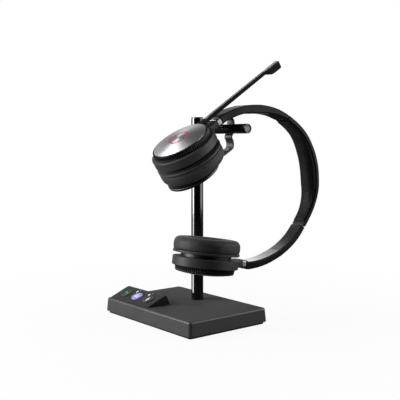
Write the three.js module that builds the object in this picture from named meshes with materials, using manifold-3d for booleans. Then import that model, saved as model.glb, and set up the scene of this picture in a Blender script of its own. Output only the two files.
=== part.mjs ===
// Office headset hanging on its desk stand.
// Units are millimetres, +Z is up. The origin is the centre of the stand's underside, +X runs along the long front
// edge of the base and +Y points to the rear. The headset hangs in a vertical plane at X = HEADSET_X with its cups
// towards the front (-Y) and the crown of its headband towards the rear.
import * as THREE from "three";
import { mergeVertices } from "three/addons/utils/BufferGeometryUtils.js";
import Module from "manifold-3d";

const wasm = await Module();
wasm.setup();

// ---------------------------------------------------------------- driving dimensions
const BASE_LENGTH = 136; // along X at the top edge
const BASE_DEPTH = 92.6; // along Y at the top edge
const BASE_TOP = 15.4; // height of the top face
const BASE_FLARE = 1.0; // how far each side leans out towards the bottom
const BASE_CORNER = 3.2; // plan radius of the corners
const BASE_EDGE = 1.4; // bevel round the top face
const SHELL_BOTTOM = 2.2; // the rubber mat shows below this height
const POLE_X = -3.8;
const POLE_Y = 20;
const POLE_RADIUS = 6;
const POLE_TOP = 197.3;
const BAR_Z = 185.2; // height of the hanger bar
const BAR_RADIUS = 4.5;
const BAR_END_X = 70;
const HOOK_X0 = 34.7; // the dock hook is a strip between these two X
const HOOK_X1 = 44.7;
const HOOK_THICK = 1.6;
const HEADSET_X = 40.2; // plane of the headset
const BAND_WIDTH = 19;
const UPPER_CUP = [-35.8, 175.0]; // Y, Z of the centre of the upper cover plate
const UPPER_TILT = 34; // degrees between its outward normal and +Z
const LOWER_CUP = [-7.2, 51.7];
const LOWER_TILT = 7.5; // degrees between its outward normal and -Z
const PLATE_RADIUS = 26.2;
const CROWN = 2.6; // the cover plates are domed by this much
const HOUSING_RADIUS = 31;
const CUSHION_RADIUS = 31.7;
const CUSHION_FACE = 32.1; // depth of the ear cushion's face below the cover plate
const BOOM_REACH = 136.3; // boom tip from the cup's axis
const BOOM_ANGLE = 4.2; // parked boom, degrees towards +X from the cup's in-plane axis
const SWIVEL_DEPTH = 9.8; // depth of the swivel axis below the cover plate
const UPPER_ARC = [64.16, 129.63, 74.5]; // Y, Z and radius of the upper sliding strip
const LOWER_ARC = [55.4, 142.08, 85.0]; // Y, Z and radius of the lower sliding strip
const KEY_RADIUS = 5.9;
const GAP = 0.3; // clearance between neighbouring pieces

// ---------------------------------------------------------------- helpers
const rad = THREE.MathUtils.degToRad;
const V2 = (x, y) => new THREE.Vector2(x, y);

// A closed three.js geometry as a solid.
function solid(geometry, matrix) {
  const g = (geometry.index ? geometry.toNonIndexed() : geometry).clone();
  g.deleteAttribute("normal");
  g.deleteAttribute("uv");
  if (matrix) g.applyMatrix4(matrix);
  const m = mergeVertices(g, 1e-4);
  const kept = [];
  const idx = m.index.array;
  for (let i = 0; i < idx.length; i += 3)
    if (idx[i] !== idx[i + 1] && idx[i + 1] !== idx[i + 2] && idx[i] !== idx[i + 2]) kept.push(idx[i], idx[i + 1], idx[i + 2]);
  const make = (tris) => new wasm.Manifold(new wasm.Mesh({ numProp: 3, vertProperties: new Float32Array(m.attributes.position.array), triVerts: new Uint32Array(tris) }));
  const made = make(kept);
  if (made.volume() >= 0) return made;
  const turned = [];
  for (let i = 0; i < kept.length; i += 3) turned.push(kept[i], kept[i + 2], kept[i + 1]);
  return make(turned);
}

function geometryOf(s) {
  const mesh = s.getMesh();
  const n = mesh.numProp;
  const pos = new Float32Array((mesh.vertProperties.length / n) * 3);
  for (let i = 0; i < pos.length / 3; i++) for (let k = 0; k < 3; k++) pos[i * 3 + k] = mesh.vertProperties[i * n + k];
  const g = new THREE.BufferGeometry();
  g.setAttribute("position", new THREE.BufferAttribute(pos, 3));
  g.setIndex(Array.from(mesh.triVerts));
  g.computeVertexNormals();
  return g;
}

const turnedToX = new THREE.Matrix4().makeRotationY(Math.PI / 2); // a +Z axis becomes +X
const profileToYZ = new THREE.Matrix4().makeBasis(new THREE.Vector3(0, 1, 0), new THREE.Vector3(0, 0, 1), new THREE.Vector3(1, 0, 0));
const at = (x, y, z) => new THREE.Matrix4().makeTranslation(x, y, z);

// A turned piece about +Z; the profile is a list of [radius, z], closed on the axis or on itself.
function turned(profile, segments = 32, matrix) {
  const p = profile.map(([r, z]) => V2(r, z));
  if (profile[0][0] > 0) p.push(p[0].clone());
  const g = new THREE.LatheGeometry(p, segments);
  g.rotateX(Math.PI / 2);
  return solid(g, matrix);
}

// A plate in XY between two heights, with an optional small bevel on its edges.
function plate(shape, z0, z1, bevel = 0, curveSegments = 6, matrix) {
  const g = new THREE.ExtrudeGeometry(shape, {
    depth: z1 - z0 - 2 * bevel,
    bevelEnabled: bevel > 0,
    bevelThickness: bevel,
    bevelSize: bevel,
    bevelOffset: -bevel,
    bevelSegments: 1,
    curveSegments,
  });
  g.translate(0, 0, z0 + bevel);
  return solid(g, matrix);
}

// A profile drawn in Y and Z and extruded along X.
function sideProfile(points, x0, x1, bevel = 0) {
  return plate(new THREE.Shape(points.map(([y, z]) => V2(y, z))), x0, x1, bevel, 6, profileToYZ);
}

function roundedRect(w, d, r) {
  const s = new THREE.Shape();
  const x = w / 2, y = d / 2;
  s.moveTo(-x + r, -y);
  s.lineTo(x - r, -y);
  s.absarc(x - r, -y + r, r, -Math.PI / 2, 0);
  s.lineTo(x, y - r);
  s.absarc(x - r, y - r, r, 0, Math.PI / 2);
  s.lineTo(-x + r, y);
  s.absarc(-x + r, y - r, r, Math.PI / 2, Math.PI);
  s.lineTo(-x, -y + r);
  s.absarc(-x + r, -y + r, r, Math.PI, Math.PI * 1.5);
  return s;
}

const box = (x0, x1, y0, y1, z0, z1) => solid(new THREE.BoxGeometry(x1 - x0, y1 - y0, z1 - z0), at((x0 + x1) / 2, (y0 + y1) / 2, (z0 + z1) / 2));
const rod = (r, z0, z1, segments = 16) => turned([[0, z0], [r, z0], [r, z1], [0, z1]], segments);
const moved = (s, x, y, z) => s.translate([x, y, z]);

// Evenly spaced points along a smooth line through the given ones.
function smooth(points, n) {
  return new THREE.SplineCurve(points.map(([a, b]) => V2(a, b))).getSpacedPoints(n).map((p) => [p.x, p.y]);
}

// The line moved sideways by a distance that may vary along it (positive to its right).
function offset(line, distance) {
  return line.map(([a, b], i) => {
    const [pa, pb] = line[Math.max(i - 1, 0)];
    const [na, nb] = line[Math.min(i + 1, line.length - 1)];
    const l = Math.hypot(na - pa, nb - pb);
    const d = typeof distance === "function" ? distance(i / (line.length - 1)) : distance;
    return [a + ((nb - pb) / l) * d, b - ((na - pa) / l) * d];
  });
}

// A strip bent on an arc in the YZ plane, centred on the headset's plane.
function arcStrip([cy, cz, r], thick, width, deg0, deg1, steps = 7) {
  const side = (radius, from, to) => Array.from({ length: steps + 1 }, (_, i) => {
    const a = rad(from + ((to - from) * i) / steps);
    return [cy + radius * Math.cos(a), cz + radius * Math.sin(a)];
  });
  return sideProfile([...side(r - thick / 2, deg0, deg1), ...side(r + thick / 2, deg1, deg0)], HEADSET_X - width / 2, HEADSET_X + width / 2);
}

// ---------------------------------------------------------------- materials
const finish = (color, roughness, metalness) => new THREE.MeshStandardMaterial({ color, roughness, metalness });
const M = {
  base: finish(0x3d3d3f, 0.55, 0),
  panel: finish(0x454547, 0.5, 0),
  black: finish(0x141415, 0.6, 0),
  gloss: finish(0x0b0b0c, 0.18, 0.1),
  hook: finish(0x2b2b2d, 0.45, 0.3),
  silver: finish(0xb9babd, 0.35, 0.9),
  charcoal: finish(0x2c2c2e, 0.6, 0),
  leather: finish(0x19191a, 0.5, 0),
  cloth: finish(0x101011, 0.95, 0),
  rubber: finish(0x0f0f10, 0.9, 0),
  steel: finish(0x8d9094, 0.35, 1),
  board: finish(0x1d4a2c, 0.6, 0),
  light: finish(0xe8e8ea, 0.4, 0),
  red: finish(0xc8505a, 0.4, 0),
  green: finish(0x2f7d45, 0.5, 0),
  violet: finish(0x7f76c8, 0.5, 0),
  cell: finish(0x9aa0a6, 0.5, 0.2),
};

const headsetAndStand = new THREE.Group();
function add(name, s, material, parent = headsetAndStand) {
  const mesh = new THREE.Mesh(geometryOf(s), material);
  mesh.name = name;
  parent.add(mesh);
  return mesh;
}

// ---------------------------------------------------------------- stand: base
// The shell leans out slightly towards the bottom and is open underneath.
const shellTop = BASE_TOP;
let shellGeo = new THREE.ExtrudeGeometry(roundedRect(BASE_LENGTH, BASE_DEPTH, BASE_CORNER), {
  depth: shellTop - SHELL_BOTTOM - BASE_EDGE,
  bevelEnabled: true, bevelThickness: BASE_EDGE, bevelSize: BASE_EDGE, bevelOffset: -BASE_EDGE, bevelSegments: 2, curveSegments: 5,
});
shellGeo.translate(0, 0, SHELL_BOTTOM);
{
  const p = shellGeo.attributes.position;
  for (let i = 0; i < p.count; i++) {
    const z = p.getZ(i);
    const k = z < SHELL_BOTTOM - 0.4 ? 1 : (shellTop - z) / (shellTop - SHELL_BOTTOM);
    p.setX(i, p.getX(i) * (1 + (BASE_FLARE * k * 2) / BASE_LENGTH));
    p.setY(i, p.getY(i) * (1 + (BASE_FLARE * k * 2) / BASE_DEPTH));
  }
}
const below = box(-90, 90, -70, 70, -5, SHELL_BOTTOM);
let shell = solid(shellGeo).subtract(below);
shell = shell.subtract(plate(roundedRect(BASE_LENGTH - 4.4, BASE_DEPTH - 4.4, 2), SHELL_BOTTOM - 1, 13.0, 0, 3));
const SCREW_X = 58;
for (const s of [-1, 1]) {
  shell = shell.add(turned([[1.7, 4], [4, 4], [4, 14], [1.7, 14]], 16, at(s * SCREW_X, 0, 0)));
}
shell = shell.subtract(moved(rod(4.4, 10, 20, 20), POLE_X, POLE_Y, 0));
const USB_X = -45;
shell = shell.subtract(box(USB_X - 5.6, USB_X + 5.6, 40, 50, 4.8, 9.4));
add("base_shell", shell, M.base);

let bottom = plate(roundedRect(BASE_LENGTH - 5.2, BASE_DEPTH - 5.2, 1.7), SHELL_BOTTOM, SHELL_BOTTOM + 1.1, 0, 3);
for (const s of [-1, 1]) bottom = bottom.subtract(moved(rod(3.1, -1, 5, 16), s * SCREW_X, 0, 0));
add("base_bottom_plate", bottom, M.steel);
add("rubber_mat", plate(roundedRect(BASE_LENGTH - 2.2, BASE_DEPTH - 2.2, 2.6), 0, SHELL_BOTTOM - GAP, 0.3, 5), M.rubber);
for (const [name, s] of [["left", -1], ["right", 1]])
  add("base_screw_" + name, turned([[0, 2.3], [2.7, 2.3], [2.7, 3.2], [1.35, 3.8], [1.35, 11], [0, 11]], 14, at(s * SCREW_X, 0, 0)), M.steel);
add("ballast_plate", plate(roundedRect(70, 78, 4), 3.6, 7.2, 0, 3, at(15, 0, 0)), M.steel);
add("base_circuit_board", box(-63, -25, -41, -8, 9.2, 10.8), M.board);
{
  let socket = box(USB_X - 5.2, USB_X + 5.2, 38, 46.4, 5.2, 9.0);
  socket = socket.subtract(box(USB_X - 4.3, USB_X + 4.3, 40, 50, 5.8, 8.4));
  add("usb_socket", socket, M.steel);
}

// ---------------------------------------------------------------- stand: sloped control panel with its keys
const PANEL_X0 = -66.6, PANEL_X1 = -3.0;
const SLOPE_Y = -43.6; // the slope would meet the base's top face here
const SLOPE = Math.atan2(8.6, 21.6);
const onSlope = (s, lift = 0) => [SLOPE_Y + s * Math.cos(SLOPE) - lift * Math.sin(SLOPE), BASE_TOP + s * Math.sin(SLOPE) + lift * Math.cos(SLOPE)];
const toSlope = (x, s) => {
  const [y, z] = onSlope(s);
  return at(x, y, z).multiply(new THREE.Matrix4().makeRotationX(SLOPE));
};
const PANEL_BOTTOM = BASE_TOP + GAP;
let panel = sideProfile([
  [SLOPE_Y + 0.8 + (PANEL_BOTTOM - BASE_TOP) / Math.tan(SLOPE), PANEL_BOTTOM], onSlope(22), onSlope(23.2, -0.15), [-20.6, 24.15], [-19.3, 23.8], [-18.2, 22.6], [-15.0, PANEL_BOTTOM],
], PANEL_X0, PANEL_X1, 0);
const KEY_S = 12.6;
const KEYS = { call_key: [-53.6, M.green], assistant_key: [-34.8, M.violet], mute_key: [-16.0, M.light] };
const LIGHTS = { status_light_left: -43.4, status_light_right: -22.8 };
for (const [x] of Object.values(KEYS)) panel = panel.subtract(solid(new THREE.CylinderGeometry(KEY_RADIUS + 0.3, KEY_RADIUS + 0.3, 5.2, 20).rotateX(Math.PI / 2), toSlope(x, KEY_S)));
for (const x of Object.values(LIGHTS)) panel = panel.subtract(solid(new THREE.BoxGeometry(2.2, 3.8, 4.4), toSlope(x, 19.4)));
add("control_panel", panel, M.panel);
for (const [name, [x, material]] of Object.entries(KEYS))
  add(name, turned([[0, -1.9], [KEY_RADIUS, -1.9], [KEY_RADIUS, 0.2], [KEY_RADIUS - 0.4, 0.5], [0, 0.5]], 20, toSlope(x, KEY_S)), material);
for (const [name, x] of Object.entries(LIGHTS)) add(name, solid(new THREE.BoxGeometry(1.6, 3.2, 1.9), toSlope(x, 19.4).multiply(at(0, 0, -0.8))), M.light);

// ---------------------------------------------------------------- stand: pole, hanger bar and dock hook
let pole = turned([[4.5, BASE_TOP + GAP], [POLE_RADIUS, BASE_TOP + GAP], [POLE_RADIUS, POLE_TOP - 1.1], [4.5, POLE_TOP - 1.1]], 24, at(POLE_X, POLE_Y, 0));
pole = pole.subtract(moved(solid(new THREE.CylinderGeometry(2.4, 2.4, 30, 16).rotateZ(Math.PI / 2)), POLE_X, POLE_Y, BAR_Z));
add("pole", pole, M.gloss);
add("pole_cap", turned([[0, 190], [4.1, 190], [4.1, POLE_TOP - 0.8], [POLE_RADIUS, POLE_TOP - 0.8], [POLE_RADIUS, POLE_TOP - 0.3], [POLE_RADIUS - 0.3, POLE_TOP], [0, POLE_TOP]], 24, at(POLE_X, POLE_Y, 0)), M.gloss);
add("pole_bolt", turned([[0, 7.5], [6.2, 7.5], [6.2, 12.9], [3.9, 12.9], [3.9, 44], [0, 44]], 12, at(POLE_X, POLE_Y, 0)), M.steel);
const alongBar = at(0, POLE_Y, BAR_Z).multiply(turnedToX);
add("hanger_bar", turned([[3.2, POLE_X + POLE_RADIUS + GAP], [BAR_RADIUS, POLE_X + POLE_RADIUS + GAP], [BAR_RADIUS, BAR_END_X - 1.5], [3.2, BAR_END_X - 1.5]], 24, alongBar), M.gloss);
add("bar_end_cap", turned([[0, 60], [2.9, 60], [2.9, BAR_END_X - 1.2], [BAR_RADIUS, BAR_END_X - 1.2], [BAR_RADIUS, BAR_END_X - 0.4], [BAR_RADIUS - 0.4, BAR_END_X], [3.3, BAR_END_X], [2.7, BAR_END_X - 0.5], [0, BAR_END_X - 0.5]], 20, alongBar), M.gloss);
add("bar_screw", turned([[0, -12.1], [3.0, -12.1], [3.4, -11.7], [3.4, -10.1], [2.0, -10.1], [2.0, 22], [0, 22]], 16, alongBar), M.steel);

// Cup frames: local +Z is the outward normal of the cover plate, local +Y points along the plane towards the headband arm.
const upperCup = new THREE.Group();
upperCup.position.set(HEADSET_X, UPPER_CUP[0], UPPER_CUP[1]);
upperCup.rotation.x = rad(UPPER_TILT);
const lowerCup = new THREE.Group();
lowerCup.position.set(HEADSET_X, LOWER_CUP[0], LOWER_CUP[1]);
lowerCup.rotation.x = rad(180 - LOWER_TILT);
const lowerTurn = new THREE.Group();
lowerTurn.rotation.z = Math.PI;
lowerCup.add(lowerTurn);
headsetAndStand.add(upperCup, lowerCup);
const inUpper = (y, depth) => {
  const t = rad(UPPER_TILT);
  return [UPPER_CUP[0] + y * Math.cos(t) + depth * Math.sin(t), UPPER_CUP[1] + y * Math.sin(t) - depth * Math.cos(t)];
};

{
  const path = smooth([
    [25.7, 196.1], [25.7, 190], [25.75, 185.2], [25.0, 181.8], [23.1, 179.2], [22.7, 177.2], [23.9, 175.0], [24.95, 172.0], [24.75, 168.7], [23.2, 166.4],
    [18.1, 163.3], inUpper(33, 39.4), inUpper(27, 38.4), inUpper(21, 37.5), inUpper(15, 37.1), inUpper(6, 37.1), inUpper(-4, 37.1), inUpper(-15, 37.1),
  ], 34);
  let hook = sideProfile([...offset(path, HOOK_THICK / 2), ...offset(path, -HOOK_THICK / 2).reverse()], HOOK_X0, HOOK_X1, 0);
  const mid = (HOOK_X0 + HOOK_X1) / 2, domeZ = 196.1 - 5;
  const dome = solid(new THREE.CylinderGeometry(5, 5, 12, 20), at(mid, 25.7, domeZ));
  hook = hook.subtract(box(HOOK_X0 - 1, HOOK_X1 + 1, 20, 31, domeZ, 199).subtract(dome));
  hook = hook.subtract(solid(new THREE.CylinderGeometry(1.3, 1.3, 6, 12), at(mid, 25.7, 187.2)));
  add("dock_hook", hook, M.hook);
  add("hook_screw", solid(new THREE.LatheGeometry([V2(0, 0.6), V2(0.9, 0.6), V2(0.9, 2.3), V2(2.3, 2.3), V2(2.3, 3.2), V2(0, 3.2)], 14), at(mid, 24.55, 187.2)), M.steel);
  const along = new THREE.Matrix4().makeRotationX(Math.atan2(163.3 - 166.4, 18.1 - 23.2) + Math.PI);
  add("charge_contact", solid(new THREE.BoxGeometry(7, 5.6, 0.5), at(mid, 20.05, 165.95).multiply(along)), M.silver);
  add("rest_disc", turned([[0, -35.9], [25.0, -35.9], [25.5, -35.4], [25.5, -34.0], [25.0, -33.4], [0, -33.4]], 32, at(0, -4.6, 0)), M.hook, upperCup);
}

// ---------------------------------------------------------------- the two cups
const crown = (r) => CROWN * (1 - (r / (PLATE_RADIUS - 0.6)) ** 2);
function cup(prefix, group, hasButton) {
  // outer half: cover plate, housing with the arm's stub, and the inner cover with the round neck of the cushion's tilt joint
  const hub = hasButton ? 9.9 : 0;
  add(prefix + "_cover_plate", turned([[hub, -1.6], [PLATE_RADIUS, -1.6], [PLATE_RADIUS, -0.6], ...[25.6, 21.5, 16.5, hub].map((r) => [r, crown(r)])], 32), M.silver, group);
  let housing = turned([
    [18.5, -1.9], [20.5, -1.9], [20.5, -5.6], [HOUSING_RADIUS - 0.7, -5.6], [HOUSING_RADIUS, -6.3], [HOUSING_RADIUS, -13.3], [HOUSING_RADIUS - 0.7, -14],
    [29.2, -14], [29.2, -7.2], [18.5, -7.2],
  ], 32);
  const stub = plate(roundedRect(14.4, 7.8, 2.2), 29.9, 40.3, 0, 3, new THREE.Matrix4().makeBasis(new THREE.Vector3(1, 0, 0), new THREE.Vector3(0, 0, -1), new THREE.Vector3(0, 1, 0)).premultiply(at(0, 0, -SWIVEL_DEPTH)));
  housing = housing.add(stub);
  housing = housing.subtract(solid(new THREE.CylinderGeometry(2.6, 2.6, 10, 16), at(0, 38, -SWIVEL_DEPTH)));
  add(prefix + "_housing", housing, M.charcoal, group);
  add(prefix + "_inner_cover", turned([
    [14, -12.2], [28.9, -12.2], [28.9, -13.7], [23.6, -13.9], [23.75, -16], [23.7, -17.4], [20.5, -17.4], [20.5, -13.7], [14, -13.7],
  ], 28), M.black, group);
  // cushion side: carrier with its flange, driver, cloth and the padded ring
  add(prefix + "_cushion_carrier", turned([
    [24.1, -17.7], [30.9, -17.7], [31.3, -18.1], [31.3, -19.5], [30.9, -19.9], [27.6, -19.9], [27.6, -21.6], [13.4, -21.6], [13.4, -20.2], [24.1, -20.2],
  ], 28), M.charcoal, group);
  add(prefix + "_speaker_driver", turned([[0, -18], [9, -18], [13, -20.4], [13, -24.8], [0, -24.8]], 24), M.black, group);
  add(prefix + "_ear_cushion", turned([
    [14.3, -21.9], [27.9, -21.9], [27.9, -20.2], [30.6, -20.2], [CUSHION_RADIUS, -26], [30.4, -30.0], [26.5, -CUSHION_FACE],
    [20.0, -CUSHION_FACE], [15.6, -30.2], [14.3, -26.6],
  ], 32), M.leather, group);
  add(prefix + "_ear_cloth", turned([[0, -26.9], [13.8, -26.9], [13.8, -26.2], [0, -26.2]], 24), M.cloth, group);
}
cup("upper", upperCup, true);
cup("lower", lowerTurn, false);

add("multifunction_button", turned([[0, -6.2], [2.4, -6.2], [2.4, 0.2], [8.2, 0.2], [8.2, crown(8.2) - 0.4], [7.9, crown(7.9) - 0.1], [0, CROWN - 0.1]], 20), M.silver, upperCup);
add("light_ring", turned([[8.5, -7.1], [9.6, -7.1], [9.6, crown(9.6) - 0.05], [8.5, crown(8.5) - 0.05]], 24), M.red, upperCup);
add("headset_circuit_board", turned([[0, -8.6], [24, -8.6], [24, -7.5], [3, -7.5], [3, -6.95], [0, -6.95]], 20), M.board, upperCup);
add("battery", moved(plate(roundedRect(30, 22, 2), -3.6, 0, 0, 2), 0, 0, -7.8), M.cell, lowerTurn);
add("lower_trim_ring", turned([[20.9, -5.25], [28.3, -5.25], [27.4, -0.5], [26.6, -0.5], [26.6, -1.95], [20.9, -1.95]], 32), M.black, lowerTurn);

// ---------------------------------------------------------------- boom
const boom = new THREE.Group();
boom.rotation.z = -rad(BOOM_ANGLE);
upperCup.add(boom);
{
  let ring = turned([[20.9, -5.25], [28.3, -5.25], [27.4, -0.5], [26.6, -0.5], [26.6, -1.95], [20.9, -1.95]], 32);
  ring = ring.add(box(-3.1, 3.1, 26.9, 31.4, -4.6, 0.3));
  add("boom_ring", ring, M.black, boom);
  const tip = BOOM_REACH, start = BOOM_REACH - 21.5;
  add("boom_arm", sideProfile([[31.7, 0.6], [31.7, -3.1], [70, -2.8], [start - 0.3, -2.3], [start - 0.3, 1.2], [45, 0.9]], -2.0, 2.0, 0.5), M.black, boom);
  add("microphone_capsule", sideProfile([[start, 1.3], [start, -2.3], [start + 5, -5.2], [start + 9, -6.7], [tip - 0.9, -6.7], [tip, -5.9], [tip, 0.9], [tip - 0.5, 1.3]], -2.8, 2.8, 0.6), M.black, boom);
}

// ---------------------------------------------------------------- headband
const X0 = HEADSET_X - BAND_WIDTH / 2, X1 = HEADSET_X + BAND_WIDTH / 2;
const UPPER_NOTCH = 66.1, LOWER_NOTCH = -40.9; // degrees on each sliding strip's arc
const onArc = ([cy, cz], r, deg) => [cy + r * Math.cos(rad(deg)), cz + r * Math.sin(rad(deg))];

// arms: a smooth outer line, and an inner line at a thickness that tapers towards the notch
const upperOuter = smooth([inUpper(45.9, 5.9), [9.7, 198.5], [15.8, 201.1], [22.0, 203.5], [28.2, 205.4], [34.6, 206.8], [41, 208.0], [54.1, 208.7], [67.7, 207.7], [81.9, 204.6], onArc(UPPER_ARC, 76.3, UPPER_NOTCH + 0.5)], 22);
const upperInner = smooth([inUpper(45.9, 13.7), [14.0, 191.9], [18.7, 194.3], [23.3, 196.0], [28.3, 197.8], [34.6, 199.4], [41.1, 200.4], [54.2, 200.3], [66.3, 200.6], [79.8, 198.9], onArc(UPPER_ARC, 71.4, UPPER_NOTCH + 0.5)], 22);
const lowerStart = (depth) => {
  const t = rad(180 - LOWER_TILT);
  return [LOWER_CUP[0] - 45.9 * Math.cos(t) + depth * Math.sin(t), LOWER_CUP[1] - 45.9 * Math.sin(t) - depth * Math.cos(t)];
};
const lowerOuter = smooth([lowerStart(5.9), [42.3, 49.9], [55.8, 50.6], [69.6, 53.1], [83.7, 57.6], [90.9, 60.8], [98.2, 64.7], [105.6, 69.6], [112.9, 75.8], onArc(LOWER_ARC, 87.0, LOWER_NOTCH - 0.5)], 22);
const lowerInner = offset(lowerOuter, (s) => -(7.8 - 2.4 * s));
lowerInner[0] = lowerStart(13.7);
lowerInner[lowerInner.length - 1] = onArc(LOWER_ARC, 81.8, LOWER_NOTCH - 0.5);
// the arms narrow towards the collars
function narrowed(arm, y0, y1, w = BAND_WIDTH / 2) {
  for (const s of [-1, 1]) {
    const wedge = new THREE.Shape([V2(HEADSET_X + s * 7.4, y0 - 8), V2(HEADSET_X + s * (w + 3), y0 - 8), V2(HEADSET_X + s * (w + 3), y1), V2(HEADSET_X + s * w, y1), V2(HEADSET_X + s * 7.4, y0)].slice());
    arm = arm.subtract(plate(wedge, 30, 220));
  }
  return arm;
}
// the band itself narrows from its full width to the lower arm's
const LOWER_HALF = 7.9, TAPER_TOP = 128, TAPER_END = 98;
function tapered(part, trim) {
  for (const s of [-1, 1]) {
    const w = BAND_WIDTH / 2 - trim, n = LOWER_HALF - trim;
    const wedge = new THREE.Shape([V2(HEADSET_X + s * n, -60), V2(HEADSET_X + s * (w + 3), -60), V2(HEADSET_X + s * (w + 3), -TAPER_TOP), V2(HEADSET_X + s * w, -TAPER_TOP), V2(HEADSET_X + s * n, -TAPER_END)]);
    part = part.subtract(plate(wedge, 100, 160, 0, 3, new THREE.Matrix4().makeRotationX(-Math.PI / 2)));
  }
  return part;
}
const slot = 0.6; // the slots are this much thicker and wider than the strips
let upperArm = narrowed(sideProfile([...upperOuter, ...upperInner.slice().reverse()], X0, X1, 1.0), inUpper(45.9, 9)[0] + 1, 34);
let lowerArm = narrowed(sideProfile([...lowerInner, ...lowerOuter.slice().reverse()], HEADSET_X - LOWER_HALF, HEADSET_X + LOWER_HALF, 1.0), lowerStart(9)[0] + 1, 62, LOWER_HALF);
upperArm = upperArm.subtract(arcStrip(UPPER_ARC, 1.2 + slot, 13 + slot, UPPER_NOTCH - 2, UPPER_NOTCH + 7));
lowerArm = lowerArm.subtract(arcStrip(LOWER_ARC, 1.2 + slot, 13 + slot, LOWER_NOTCH - 6.4, LOWER_NOTCH + 2));
const pinHole = (m) => solid(new THREE.CylinderGeometry(2.5, 2.5, 12, 16), m.clone().multiply(at(0, 47, -SWIVEL_DEPTH)));
headsetAndStand.updateMatrixWorld(true);
upperArm = upperArm.subtract(pinHole(upperCup.matrixWorld));
lowerArm = lowerArm.subtract(pinHole(lowerTurn.matrixWorld));
add("upper_arm", upperArm, M.charcoal);
add("lower_arm", lowerArm, M.charcoal);
for (const [prefix, group] of [["upper", upperCup], ["lower", lowerTurn]]) {
  let collar = plate(roundedRect(14.8, 8.2, 2.4), 40.7, 45.5, 0, 3, new THREE.Matrix4().makeBasis(new THREE.Vector3(1, 0, 0), new THREE.Vector3(0, 0, -1), new THREE.Vector3(0, 1, 0)).premultiply(at(0, 0, -SWIVEL_DEPTH)));
  collar = collar.subtract(solid(new THREE.CylinderGeometry(2.5, 2.5, 12, 16), at(0, 43, -SWIVEL_DEPTH)));
  add(prefix + "_collar", collar, M.silver, group);
  add(prefix + "_swivel_pin", solid(new THREE.CylinderGeometry(2.2, 2.2, 17, 16), at(0, 43.5, -SWIVEL_DEPTH)), M.steel, group);
}
add("upper_slider", arcStrip(UPPER_ARC, 1.2, 13, UPPER_NOTCH - 19.5, UPPER_NOTCH + 6.6), M.steel);
add("lower_slider", arcStrip(LOWER_ARC, 1.2, 13, LOWER_NOTCH - 6.0, LOWER_NOTCH + 17), M.steel);

// frame between the two notches, with the padded strip on its inside
const frameOuter = smooth([onArc(UPPER_ARC, 76.3, UPPER_NOTCH - 0.5), [103.2, 195.0], [110.8, 190.2], [119.0, 183.6], [126.9, 174.3], [134.4, 161.3], [138.9, 147.4], [140.4, 133.5], [139.8, 121.0], [136.5, 109.3], [130.8, 97.8], onArc(LOWER_ARC, 87.0, LOWER_NOTCH + 0.5)], 32);
const frameInner = offset(frameOuter, 4.5);
let frame = sideProfile([...frameOuter, ...frameInner.slice().reverse()], X0, X1, 0.9);
frame = frame.subtract(arcStrip(UPPER_ARC, 1.2 + slot, 13 + slot, UPPER_NOTCH - 20.3, UPPER_NOTCH + 2));
frame = frame.subtract(arcStrip(LOWER_ARC, 1.2 + slot, 13 + slot, LOWER_NOTCH - 2, LOWER_NOTCH + 17.8));
add("headband_frame", tapered(frame, 0), M.charcoal);
const padBack = offset(frameOuter, 4.8).slice(1, -1);
const PAD_DEPTH = [1.1, 1.2, 1.5, 2.9, 4.9, 6.5, 7.1, 6.3, 4.4, 2.3, 1.3, 1.1]; // evenly spaced from the upper notch to the lower
const padDepth = (s) => {
  const u = Math.min(Math.max(s, 0), 1) * (PAD_DEPTH.length - 1), k = Math.min(Math.floor(u), PAD_DEPTH.length - 2), f = u - k;
  return PAD_DEPTH[k] + (PAD_DEPTH[k + 1] - PAD_DEPTH[k]) * f * f * (3 - 2 * f);
};
const padFace = offset(frameOuter, (s) => 4.8 + padDepth(s)).slice(1, -1);
add("headband_pad", tapered(sideProfile([...padBack, ...padFace.slice().reverse()], X0 + 0.5, X1 - 0.5, 0.35), 0.5), M.leather);

export default headsetAndStand;
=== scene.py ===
# Office headset hanging on its desk stand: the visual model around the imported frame.
# Shapes are worked out in millimetres in the row frame and written to the meshes in metres.
import math

import bmesh
import bpy
import numpy as np
from mathutils import Matrix, Vector, noise


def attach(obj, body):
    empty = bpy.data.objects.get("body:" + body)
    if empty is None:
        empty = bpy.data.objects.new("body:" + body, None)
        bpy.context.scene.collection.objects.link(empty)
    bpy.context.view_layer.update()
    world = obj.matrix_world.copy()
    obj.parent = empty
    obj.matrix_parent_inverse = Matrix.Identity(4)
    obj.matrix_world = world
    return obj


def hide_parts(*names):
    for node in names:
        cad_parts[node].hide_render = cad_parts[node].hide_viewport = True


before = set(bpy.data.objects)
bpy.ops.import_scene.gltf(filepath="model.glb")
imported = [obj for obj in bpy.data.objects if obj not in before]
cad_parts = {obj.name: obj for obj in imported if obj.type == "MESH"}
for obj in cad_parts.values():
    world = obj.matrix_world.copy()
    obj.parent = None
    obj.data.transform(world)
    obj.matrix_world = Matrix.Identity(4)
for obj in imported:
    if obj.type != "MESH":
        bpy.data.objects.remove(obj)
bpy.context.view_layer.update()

MM = 0.001
rad = math.radians


# ------------------------------------------------------------------ frames of reference, mm
def shift(x, y, z):
    return Matrix.Translation((x, y, z))


def turn(deg, axis):
    return Matrix.Rotation(rad(deg), 4, axis)


HEADSET_X = 40.2
UPPER = shift(HEADSET_X, -35.8, 175.0) @ turn(34, "X")
LOWER = shift(HEADSET_X, -7.2, 51.7) @ turn(172.5, "X") @ turn(180, "Z")
BOOM = UPPER @ turn(-4.2, "Z")
SLOPE = math.atan2(8.6, 21.6)
IDENTITY = Matrix.Identity(4)
POLE_X, POLE_Y, BAR_Z = -3.8, 20.0, 185.2
ALONG_BAR = shift(0, POLE_Y, BAR_Z) @ turn(90, "Y")


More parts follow.
